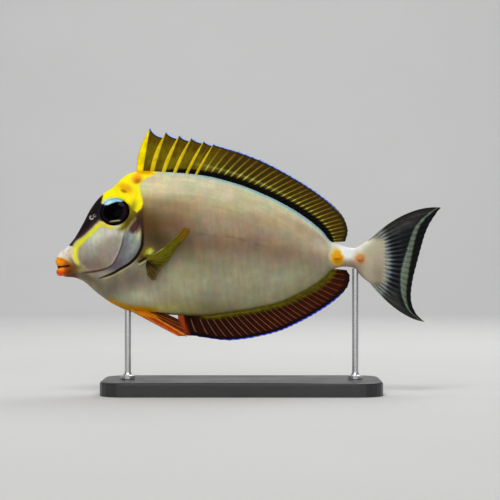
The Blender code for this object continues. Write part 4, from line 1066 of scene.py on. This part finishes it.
def caudal_paint(sheet):
    """Smoke grey with forked pale rays, a ragged cream foot and a pale band inside the dark margin."""
    share = sheet.u / (CAUDAL_RAYS - 1)
    lobes = ramp(np.abs(share - 0.5), 0.34, 0.47)
    coat = Coat("#0c0d11", sheet.s)
    out = np.clip(sheet.s - caudal_foot(sheet.h), 0, None)
    half = np.interp(out, (0.0, 3.0, 8.0, 14.0, 20.0), (0.46, 0.33, 0.16, 0.08, 0.06))
    branch = 0.21 * ramp(out, 6.0, 12.0)
    from_ray = np.abs(sheet.u - np.round(sheet.u))
    rays = ramp(np.abs(from_ray - branch), half + 0.1, half - 0.1)
    pale = np.interp(out, (0.0, 4.0, 8.0, 18.0), (0.85, 0.42, 0.24, 0.16)) * (1 - 0.5 * lobes)
    smoke = ramp(np.abs(share - 0.5), 0.22, 0.4) * ramp(sheet.rim, 6.0, 12.0)
    coat.lay("#2a2926", lobes * 0.85)
    smoke *= (0.6 + 0.4 * soft_noise(sheet.u * 1.3, out / 9, 11)) * ramp(np.abs(share - 0.5), 0.5, 0.46)
    coat.lay("#3c3b39", smoke)
    coat.lay("#8c9294", rays * pale)
    coat.lay("#5e6668", ramp(out, 5.0, 0.0) * 0.85)
    coat.lay("#9aa09c", rays * ramp(out, 6.0, 0.5) * 0.8)
    knots = np.array(PALE_BAND).T
    centre, half = np.interp(share, knots[0], knots[1]), np.interp(share, knots[0], knots[2])
    coat.lay("#0d0e10", ramp(sheet.rim, centre, centre - half) * 0.85)
    band = ramp(np.abs(sheet.rim - centre), half + 0.9, half - 0.7)
    segments = 0.75 + 0.25 * ray_band(sheet.u, 0.3, 0.15)
    coat.lay("#748068", band * segments * 0.92)
    coat.lay("#748a90", band * ramp(sheet.rim, centre, centre + half) * 0.6)
    coat.lay("#3c3d3c", bump(sheet.rim, 0.4) * 0.8)
    ragged = sheet.s - caudal_foot(sheet.h)
    ragged -= 2.0 * ray_band(sheet.u, 0.15, 0.25) + 0.5 * np.sin(sheet.u * 5.3)
    inner = within(sheet.h, -19.0, -12.0, 8.5, 14.5)
    coat.lay("#7f8888", ramp(ragged, 4.5, 0.0) * 0.45 * inner)
    coat.lay("#a8a28c", ramp(ragged, 1.8, -2.0) * inner)
    return coat.colours


def build_caudal():
    """The lunate tail fin, its outer rays bowed outward."""
    share = np.linspace(0, 1, CAUDAL_RAYS)
    tip_s, tip_h = margin_tips(CAUDAL_MARGIN, share)
    level = np.zeros(CAUDAL_RAYS)
    root_h = CAUDAL_ROOT_TOP + (CAUDAL_ROOT_LOW - CAUDAL_ROOT_TOP) * share
    roots = np.column_stack([level + CAUDAL_ROOT_S, level, root_h])
    tips = np.column_stack([tip_s, level, tip_h])
    from_middle = np.abs(2 * share - 1)
    bows = np.zeros((CAUDAL_RAYS, 3))
    bows[:, 2] = (CAUDAL_BOW[0] * (1 - share) + CAUDAL_BOW[1] * share) * from_middle**1.5
    widths = [(0.5, 0.55, 0.65, 0.75, 0.85 - 0.3 * lobe) for lobe in from_middle**3]
    heights = [np.linspace(0.34 + 0.25 * lobe, 0.16 + 0.1 * lobe, 5) for lobe in from_middle**3]
    fin = Fin(roots, tips, bows, widths, heights, webs=5, rows=fin_rows(66, below=0.05),
              dips=[0.006] * CAUDAL_RAYS, ridge=FORKED_RIDGE, split=(0.35, 0.8))
    return fin.build("tail_fin", caudal_paint, wave=0.12)


PECTORAL_ROOTS = ((55.0, 0.6), (52.4, -4.4))
PECTORAL_MARGIN = [(0.0, 74.6, 17.3), (0.04, 76.6, 17.6), (0.1, 78.0, 15.6), (0.25, 74.8, 10.8),
                   (0.42, 70.2, 5.4), (0.55, 66.8, -0.4), (0.68, 62.0, -5.4), (0.76, 59.4, -8.4),
                   (0.84, 58.2, -12.2), (0.92, 56.0, -13.6), (1.0, 53.4, -11.0)]
PECTORAL_RAYS, PECTORAL_SPREAD, PECTORAL_BOW, PECTORAL_ROOT_RISE = 15, 0.36, 0.8, 0.35
# Of the pectoral fin's first ray and of all others.
PECTORAL_WIDTHS = (0.6, 0.6, 0.5, 0.4, 0.25), (0.3, 0.34, 0.38, 0.4, 0.4)
PECTORAL_HEIGHTS = (0.5, 0.45, 0.35, 0.25, 0.15), (0.26, 0.24, 0.2, 0.16, 0.1)


def pectoral_paint(sheet):
    """Olive yellow with pale rays, brown towards its lower edge, with painted shade in the fold between its
    lobes.
    """
    share, v = sheet.u / (PECTORAL_RAYS - 1), sheet.v
    coat = Coat("#4d4606", sheet.s)
    coat.lay("#6a640e", bump(share - 0.24, 0.22) * ramp(v, 0.95, 0.5))
    coat.lay("#41310c", ramp(share, 0.66, 0.8))
    coat.lay("#6f4e0a", ramp(v, 0.55, 0.9) * ramp(share, 0.42, 0.15))
    rays = ray_band(sheet.u, 0.14, 0.14)
    coat.lay("#98902c", rays * ramp(share, 0.7, 0.45) * np.interp(v, (0, 0.5, 1), (0.8, 0.6, 0.1)))
    coat.lay("#6a5a34", rays * ramp(share, 0.6, 0.75) * 0.5)
    # Painted shade in the fold between the upper blade and the lower lobe.
    coat.lay("#20160a", bump(share - 0.72, 0.05) * ramp(v, 1.0, 0.4) * 0.9)
    coat.lay("#20160a", ramp(share, 0.45, 0.6) * ramp(v, 0.35, 0.05) * 0.7)
    coat.lay("#c2b95e", ramp(share, 0.05, 0.01) * ramp(v, 0.45, 0.25))
    coat.lay("#7f7a1c", ramp(sheet.along, 3.0, 0.5) * ramp(share, 0.4, 0.1))
    coat.lay("#6a563a", ramp(sheet.rim, 2.0, 0.0) * 0.75)
    return coat.colours


def build_pectoral(side, name):
    """The pectoral fin, spread off the flank."""
    share = np.linspace(0, 1, PECTORAL_RAYS)
    tips_seen = margin_tips(PECTORAL_MARGIN, share)
    roots_seen = [top + (low - top) * share for top, low in zip(*PECTORAL_ROOTS)]
    roots = np.array([on_flank(*seen) + (0, PECTORAL_ROOT_RISE, 0) for seen in zip(*roots_seen)])
    reach = np.hypot(*(tip - root for tip, root in zip(tips_seen, roots_seen)))
    tip_y = roots[:, 1] + PECTORAL_SPREAD * reach
    tip_s, tip_h = from_view(tips_seen, tip_y)
    upper = (1 - share) ** 1.5
    bows = np.column_stack([0.6 * upper, np.full(PECTORAL_RAYS, PECTORAL_BOW), -1.5 * upper])
    sided = np.array([1, side, 1])
    roots, tips, bows = roots * sided, np.column_stack([tip_s, tip_y, tip_h]) * sided, bows * sided
    widths, heights = ([first] + [other] * (PECTORAL_RAYS - 1)
                       for first, other in (PECTORAL_WIDTHS, PECTORAL_HEIGHTS))
    fin = Fin(roots, tips, bows, widths, heights, webs=3, rows=fin_rows(44, below=0.06),
              dips=[0.015] * PECTORAL_RAYS, across=fan_normal(roots, tips), split=(0.4, 0.9))
    return fin.build(name, pectoral_paint, wave=0.12)


# The pelvic fin's spine and rays: root and tip, and half-widths and heights at the shares Fin.STOPS.
PELVIC_RAYS = [((44.2, -30.4), (71.4, -45.0)), ((52.2, -31.6), (75.9, -45.3)), ((53.6, -31.4), (74.6, -41.2)),
               ((55.0, -31.2), (72.2, -38.2)), ((61.0, -31.6), (71.2, -36.6))]
PELVIC_WIDTHS = [(1.3, 1.1, 0.95, 0.75, 0.35), (0.8, 0.7, 0.6, 0.55, 0.4), (0.6, 0.55, 0.5, 0.45, 0.35),
                 (0.5, 0.5, 0.45, 0.4, 0.3), (0.3, 0.3, 0.3, 0.25, 0.2)]
PELVIC_HEIGHTS = [(1.3, 0.9, 0.7, 0.5, 0.2), (0.8, 0.55, 0.45, 0.35, 0.2), (0.5, 0.4, 0.3, 0.25, 0.15),
                  (0.4, 0.35, 0.3, 0.25, 0.15), (0.3, 0.25, 0.2, 0.2, 0.12)]
PELVIC_DIPS = (0.0, 0.02, 0.03, 0.05, 0.03)
PELVIC_ROOT_Y, PELVIC_TIP_Y = 2.7, 7.0


def pelvic_paint(sheet):
    """Orange spine and first ray, red-brown membrane and a dark inner corner."""
    u, v = sheet.u, sheet.v
    coat = Coat("#b0400c", sheet.s)
    coat.lay("#53210a", ramp(u, 1.25, 1.6))
    coat.lay("#d3702c", ramp(u, 0.3, 0.1) * 0.9)
    line = 0.5 + 0.5 * np.cos(u * 2 * np.pi * 4)
    coat.lay("#942a04", line * within(u, 0.2, 0.4, 0.8, 1.0) * 0.5)
    coat.lay("#e0952c", ray_band(u, 0.14, 0.08) * within(u, 0.6, 0.8, 1.3, 1.5))
    coat.lay("#a8541c", ray_band(u, 0.13, 0.1) * ramp(u, 1.6, 1.8) * 0.9)
    coat.lay("#2b1206", ramp(u, 3.1, 3.4) * 0.6)
    coat.lay("#d8860a", ramp(sheet.along, 10.0, 5.0) * ramp(u, 2.5, 1.5))
    coat.lay("#7a3c12", ramp(v, 0.9, 1.0) * 0.5)
    return coat.colours


def build_pelvic(side, name):
    """The pelvic fin, folded back under the belly."""
    roots, tips = (np.array([(s, side * y, h) for s, h in ends])
                   for y, ends in zip((PELVIC_ROOT_Y, PELVIC_TIP_Y), zip(*PELVIC_RAYS)))
    fin = Fin(roots, tips, 0 * roots, PELVIC_WIDTHS, PELVIC_HEIGHTS, webs=8, rows=fin_rows(44, below=0.08),
              dips=PELVIC_DIPS, across=fan_normal(roots, tips))
    return fin.build(name, pelvic_paint, wave=0.0)


EYE_RINGS, EYE_SPOKES = 56, 112
EYE_SWELL, EYE_SWELL_ANGLE = 0.06, 0.55


def build_eye(side, name):
    """A flattened ball whose rings run round its axis, so that painted rings come out crisp."""
    centre, facing = eye_axis(side)
    centre = centre - facing * EYE_SINK
    rear, top = disc_axes(facing)
    polar = np.linspace(0, math.pi, EYE_RINGS + 1)[1:-1, None]
    turn = np.linspace(0, 2 * math.pi, EYE_SPOKES, endpoint=False)
    along, up = EYE_RADII[0] * np.sin(polar) * np.cos(turn), EYE_RADII[1] * np.sin(polar) * np.sin(turn)
    out = EYE_HALF_DEPTH * np.cos(polar) * (1 + EYE_SWELL * bump(polar, EYE_SWELL_ANGLE)) + 0 * turn
    body = centre + along[..., None] * rear + up[..., None] * top + out[..., None] * facing
    poles = [centre + facing * EYE_HALF_DEPTH * (1 + EYE_SWELL), centre - facing * EYE_HALF_DEPTH]
    points = np.concatenate([body.reshape(-1, 3), poles])
    index = np.arange(along.size).reshape(along.shape)
    faces = grid_faces(index, close=True).tolist()
    faces += fan_faces(len(points) - 2, index[0]) + fan_faces(len(points) - 1, index[-1][::-1])
    if side == RIGHT:
        faces = [face[::-1] for face in faces]
    flat = [np.append(values, [0, 0]) for values in (along / EYE_RADII[0] * EYE_RADII[1], up)]
    return made_mesh(name, points, faces, eye_paint(*flat))


def eye_paint(along, up):
    """A black eye in a dark brown ring, a painted pale blue reflection over it and a painted light reflection
    in an arc low down.
    """
    away = np.hypot(along, up)
    coat = Coat("#160b0b", along, up)
    coat.lay("#1c1020", bump(away - 5.9, 0.8) * 0.7)
    coat.lay("#020102", ramp(np.hypot((along + 0.3) / 1.06, up), 5.3, 4.9))
    coat.lay("#0a0506", ramp(away, 6.6, 7.2))
    # Painted reflection: a light arc low on the eye, cream, and bluish white towards the rear.
    reflection_arc = ramp(np.abs(up + 5.6 - 0.07 * (along - 0.5)), 0.55, 0.1) * ramp(np.abs(along - 0.6), 3.6, 1.6)
    coat.lay("#c9c987", reflection_arc * 0.85)
    coat.lay("#a9b3c4", reflection_arc * ramp(along, 1.5, 3.0) * 0.7)
    reflection = inside_distance(EYE_SEEN[0] + along, EYE_SEEN[1] + up, EYE_REFLECTION_OUTLINE)
    # Painted reflection: the pale blue crescent over the eye, whiter towards its front.
    coat.lay("#8cc0e4", ramp(reflection, -0.25, 0.2))
    coat.lay("#d3e8ea", ramp(reflection, 0.0, 0.6) * ramp(along, 0.5, -3.0) * 0.8)
    return coat.colours


# Each tail blade's place, half-length, half-height, reach and the colours of its plate, its middle and the
# painted highlight along its keel.
TAIL_BLADES = {
    "front": (162.4, -0.5, 2.7, 3.4, 2.2, ("#d99a08", "#d98c04", "#e0a838")),
    "rear": (175.4, -1.2, 2.1, 2.4, 1.7, ("#bd8046", "#bf7a3c", "#cf9458")),
}
BLADE_RINGS, BLADE_SPOKES = 44, 96
PLATE_DEPTH, PLATE_SUNK_RIM = 0.8, 0.25
KEEL_HALF_LENGTH, KEEL_HALF_THICKNESS = 0.82, 0.12


def hooked(rise):
    """How far forward a blade's keel leans where it has risen so far."""
    return 0.75 * rise + 0.1 * rise**2


def build_blade(side, name, s, h, half_length, half_height, reach, tones):
    """A bony plate with a thin keel that rises from it and hooks forward."""
    share = np.linspace(0, 1, BLADE_RINGS + 1)[1:, None] ** 0.9
    turn = np.linspace(0, 2 * math.pi, BLADE_SPOKES, endpoint=False)
    a, b = share * np.cos(turn), share * np.sin(turn)
    plate = PLATE_DEPTH * (1 - share**2) ** 1.2 - PLATE_SUNK_RIM * share**4
    keel = np.exp(-np.abs(b / KEEL_HALF_THICKNESS) ** 1.7)
    keel *= reach * np.clip(1 - (np.abs(a) / KEEL_HALF_LENGTH) ** 1.6, 0, 1)
    place_s, place_h = s + half_length * a, h + half_height * b
    y = side * (half_width(place_s, place_h) + plate + keel)
    body = np.stack([place_s - hooked(keel), y, place_h], axis=-1)
    top = (s - hooked(reach), side * (half_width(s, h) + PLATE_DEPTH + reach), h)
    points = np.concatenate([body.reshape(-1, 3), [top]])
    index = np.arange(a.size).reshape(a.shape)
    faces = grid_faces(index, close=True).tolist() + fan_faces(a.size, index[0]) + [tuple(index[-1])]
    if side == RIGHT:
        faces = [tuple(face)[::-1] for face in faces]
    raised, far = np.append(keel / reach, 1.0), np.append(share + 0 * turn, 0.0)
    coat = Coat(tones[0], raised)
    coat.lay(tones[1], ramp(far, 0.85, 0.2) * 0.9)
    # Painted highlight along the top of the keel.
    coat.lay(tones[2], ramp(raised, 0.6, 0.98) * 0.3)
    return made_mesh(name, points, faces, coat.colours)


# Where most values of a noise texture lie.
NOISE_RANGE = (0.3, 0.7)


class Look:
    """A material in the making: one Principled shader and the nodes that feed it."""

    def __init__(self, name, specular=0.5, metallic=0.0):
        self.material = bpy.data.materials.new(name)
        self.material.use_nodes = True
        self.tree = self.material.node_tree
        self.shader = self.tree.nodes["Principled BSDF"]
        self.fill(self.shader, {"Specular IOR Level": specular, "Metallic": metallic})

    def fill(self, node, inputs):
        """Links each of a node's inputs to a socket or sets it to a value."""
        for key, value in inputs.items():
            if isinstance(value, bpy.types.NodeSocket):
                self.tree.links.new(value, node.inputs[key])
            else:
                node.inputs[key].default_value = value

    def node(self, kind, inputs, output, **settings):
        """The named output of a new node."""
        made = self.tree.nodes.new(kind)
        for key, value in settings.items():
            setattr(made, key, value)
        self.fill(made, inputs)
        return made.outputs[output]

    def attribute(self, name, output="Fac"):
        return self.node("ShaderNodeAttribute", {}, output, attribute_name=name)

    def computed(self, operation, first, second):
        return self.node("ShaderNodeMath", {0: first, 1: second}, "Value", operation=operation)

    def texture(self, kind, output, stretch, inputs):
        """A texture in object coordinates, drawn out along the axes where stretch is small."""
        place = self.node("ShaderNodeTexCoord", {}, "Object")
        squeezed = self.node("ShaderNodeMapping", {"Vector": place, "Scale": stretch}, "Vector")
        return self.node(kind, {"Vector": squeezed, **inputs}, output)

    def noise(self, scale, detail, stretch=(1, 1, 1), roughness=0.5, output="Fac"):
        inputs = {"Scale": scale, "Detail": detail, "Roughness": roughness}
        return self.texture("ShaderNodeTexNoise", output, stretch, inputs)

    def spread(self, source, to_low, to_high, usual=NOISE_RANGE):
        """The source with its usual range mapped to another."""
        low, high = usual
        inputs = {"Value": source, "From Min": low, "From Max": high, "To Min": to_low, "To Max": to_high}
        return self.node("ShaderNodeMapRange", inputs, "Result")

    def toned(self, colour, noise, low, high):
        """The colour times the noise spread from low to high."""
        inputs = {0: colour, "Scale": self.spread(noise, low, high)}
        return self.node("ShaderNodeVectorMath", inputs, "Vector", operation="SCALE")

    def painted(self, noise, low, high):
        """The mesh's own paint, toned by the noise."""
        return self.toned(self.attribute(PAINT, "Color"), noise, low, high)

    def tinted(self, colour, scale, strength):
        """The colour with each channel shifted by its own soft noise, for uneven living tints."""
        spread = self.tree.nodes.new("ShaderNodeMapRange")
        spread.data_type = "FLOAT_VECTOR"
        self.fill(spread, {"Vector": self.noise(scale, 7.0, (1, 1, 1.2), 0.6, "Color")})
        low, high = NOISE_RANGE
        limits = {"From Min": low, "From Max": high, "To Min": 1 - strength, "To Max": 1 + strength}
        for socket in spread.inputs:
            if socket.type == "VECTOR" and socket.name in limits:
                socket.default_value = [limits[socket.name]] * 3
        inputs = {0: colour, 1: spread.outputs["Vector"]}
        return self.node("ShaderNodeVectorMath", inputs, "Vector", operation="MULTIPLY")

    def two_toned(self, noise, dark, light):
        """A grey between the dark and the light one, by a noise."""
        blend = self.tree.nodes.new("ShaderNodeValToRGB")
        for element, grey in zip(blend.color_ramp.elements, (dark, light)):
            element.color = (*grey, 1)
        self.fill(blend, {"Fac": noise})
        return blend.outputs["Color"]

    def bumped(self, height, distance, strength, **under):
        """Relief on the shader, over the relief given as Normal if there is one."""
        inputs = {"Height": height, "Distance": distance, "Strength": strength, **under}
        normal = self.node("ShaderNodeBump", inputs, "Normal")
        self.fill(self.shader, {"Normal": normal})
        return normal

    def coated(self, colour, roughness):
        """The finished material with its colour and its roughness, a socket or a value."""
        self.fill(self.shader, {"Base Color": colour, "Roughness": roughness})
        return self.material


def skin_material():
    """Satin skin: faint upright streaks and mottling over the paint, and minute rough scales."""
    look = Look("fish_skin", specular=0.1)
    streaks = look.noise(420, 3.0, (1, 0.2, 0.16))
    colour = look.painted(streaks, 0.96, 1.04)
    colour = look.toned(colour, look.noise(130, 8.0, (1, 0.6, 0.8), 0.65), 0.9, 1.1)
    colour = look.tinted(colour, 95, 0.1)
    colour = look.toned(colour, look.noise(1500, 2.0), 0.94, 1.06)
    scales = look.texture("ShaderNodeTexVoronoi", "Distance", (1, 1, 1), {"Scale": 1700})
    look.bumped(streaks, 0.0003, 0.15, Normal=look.bumped(scales, 0.00006, 0.5))
    return look.coated(colour, look.spread(look.attribute("Wet"), 0.5, 0.36, usual=(0.0, 1.0)))


def fin_material():
    """Satin membrane with faint cross joints along each ray."""
    look = Look("fin_membrane", specular=0.05)
    joints = look.computed("PINGPONG", look.attribute("Along"), 0.45)
    on_rays = look.computed("MULTIPLY", joints, look.attribute("Crest"))
    look.bumped(look.noise(2200, 2.0), 0.00008, 0.5, Normal=look.bumped(on_rays, 0.00015, 0.5))
    return look.coated(look.painted(look.noise(350, 4.0), 0.8, 1.2), 0.55)


def eye_material():
    """Wet glass over a painted iris."""
    look = Look("eye_glass", specular=0.02)
    return look.coated(look.painted(look.noise(900, 3.0), 0.8, 1.2), 0.08)


def bone_material():
    """Satin bone with fine growth lines."""
    look = Look("blade_bone", specular=0.12)
    lines = look.noise(1400, 2.0, (0.3, 1, 1))
    look.bumped(lines, 0.0001, 0.4)
    return look.coated(look.painted(lines, 0.88, 1.1), 0.45)


def base_material():
    """Satin black acrylic with a faint fine grain and soft wear."""
    look = Look("stand_black")
    cloud = look.noise(40, 5.0)
    look.bumped(look.noise(3500, 2.0), 0.00002, 0.4)
    colour = look.two_toned(cloud, (0.011, 0.011, 0.012), (0.022, 0.022, 0.024))
    return look.coated(colour, look.spread(cloud, 0.28, 0.4))


def steel_material():
    """Turned steel with fine rings round the rod."""
    look = Look("rod_steel", metallic=1.0)
    rings = look.noise(600, 2.0, (0.05, 0.05, 12))
    look.bumped(rings, 0.00003, 0.4)
    colour = look.two_toned(rings, (0.42, 0.42, 0.43), (0.62, 0.62, 0.63))
    return look.coated(colour, look.spread(rings, 0.22, 0.38))


def studio_material():
    """Pale matt paper."""
    look = Look("studio_paper")
    colour = look.two_toned(look.noise(6, 3.0), (0.55, 0.55, 0.545), (0.59, 0.59, 0.585))
    return look.coated(colour, 0.9)


# The studio, in metres: a floor that curves up into a backdrop, and lights, each with its place, aim, size,
# power and colour.
FLOOR_FRONT, FLOOR_HALF_WIDTH, BACKDROP_TOP = -9.0, 9.0, 3.0
CURVE_START, CURVE_RADIUS, CURVE_STEPS = 1.2, 0.8, 24
FISH_CENTRE, WHITE = (0, 0, 0.08), (1, 1, 1)
LIGHTS = {
    "key": ((-0.15, -0.5, 1.05), FISH_CENTRE, 0.5, 6.0, (1.0, 0.98, 0.95)),
    "fill": ((-0.2, -2.6, 0.4), FISH_CENTRE, 3.2, 34.0, (1.0, 0.99, 0.97)),
    "rim": ((0.3, 0.6, 0.8), FISH_CENTRE, 0.5, 2.5, WHITE),
    "backdrop": ((0.0, 0.7, 1.6), (0, 2.0, 0.3), 1.5, 14.0, WHITE),
}
WORLD_COLOUR, WORLD_STRENGTH = (0.96, 0.98, 1.0, 1), 0.38


def build_stage():
    """A pale floor that curves up into a backdrop behind the fish."""
    curve = [(CURVE_START + CURVE_RADIUS * math.sin(a), CURVE_RADIUS * (1 - math.cos(a)))
             for a in np.linspace(0, math.pi / 2, CURVE_STEPS + 1)[1:]]
    profile = [(FLOOR_FRONT, 0.0), (CURVE_START, 0.0), *curve, (CURVE_START + CURVE_RADIUS, BACKDROP_TOP)]
    mesh, count = bpy.data.meshes.new("floor"), len(profile)
    points = [(x, y, z) for x in (-FLOOR_HALF_WIDTH, FLOOR_HALF_WIDTH) for y, z in profile]
    mesh.from_pydata(points, [], [(i, count + i, count + i + 1, i + 1) for i in range(count - 1)])
    mesh.shade_smooth()
    mesh.materials.append(studio_material())
    added("floor", mesh)


def build_lights():
    """Soft area lights over a faint even light from all round."""
    for name, (place, aim, size, power, colour) in LIGHTS.items():
        light = bpy.data.lights.new(name, "AREA")
        light.shape, light.size, light.energy, light.color = "DISK", size, power, colour
        made = added(name, light)
        made.location = place
        made.rotation_euler = (Vector(aim) - Vector(place)).to_track_quat("-Z", "Y").to_euler()
    world = bpy.data.worlds.new("studio")
    world.use_nodes = True
    background = world.node_tree.nodes["Background"]
    background.inputs["Color"].default_value = WORLD_COLOUR
    background.inputs["Strength"].default_value = WORLD_STRENGTH
    bpy.context.scene.world = world


def build_camera():
    """Level with the fish and square to its left side, one metre away, framed as the photo."""
    camera = bpy.data.cameras.new("camera")
    camera.sensor_width = 36
    camera.lens = camera.sensor_width * CAMERA_DISTANCE / PHOTO_SPAN
    made = added("camera", camera)
    made.location = placed([VIEW_AXIS[0], -CAMERA_DISTANCE, VIEW_AXIS[1]])
    made.rotation_euler = (math.pi / 2, 0, 0)
    bpy.context.scene.camera = made


def coloured(made, material):
    made.data.materials.clear()
    made.data.materials.append(material)


def dressed(made, material, nodes):
    """Puts a piece in the place of the nodes that it stands for."""
    coloured(made, material)
    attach(made, "root")
    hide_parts(*nodes)


def build_fish():
    """All pieces of the fish, each with its material and the nodes that it replaces."""
    skin, fin, eye, bone = skin_material(), fin_material(), eye_material(), bone_material()
    dressed(build_skin(), skin, ["head", "gill_cover_left", "gill_cover_right", "lip_upper",
                                              "lip_lower", "trunk", "tail_stalk"])
    dorsal, anal = median_fin(back, **DORSAL), median_fin(belly, **ANAL)
    dressed(dorsal.build("dorsal_fin_web", dorsal_paint), fin, ["dorsal_fin"])
    dressed(anal.build("anal_fin_web", anal_paint), fin, ["anal_fin"])
    dressed(build_caudal(), fin, ["caudal_fin"])
    for side, word in ((LEFT, "left"), (RIGHT, "right")):
        dressed(build_pectoral(side, f"pectoral_web_{word}"), fin, [f"pectoral_fin_{word}"])
        dressed(build_pelvic(side, f"pelvic_web_{word}"), fin, [f"pelvic_fin_{word}"])
        dressed(build_eye(side, f"eyeball_{word}"), eye, [f"eye_{word}"])
        for place, form in TAIL_BLADES.items():
            blade = build_blade(side, f"blade_{place}_{word}", *form)
            dressed(blade, bone, [f"tail_blade_{place}_{word}"])


def dress_stand():
    """Gives the stand's own solids their materials."""
    coloured(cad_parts["stand_base"], base_material())
    steel = steel_material()
    for place in ("front", "rear"):
        coloured(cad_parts[f"stand_rod_{place}"], steel)


bpy.context.scene.view_settings.view_transform = "Standard"
build_camera()
build_fish()
dress_stand()
build_stage()
build_lights()
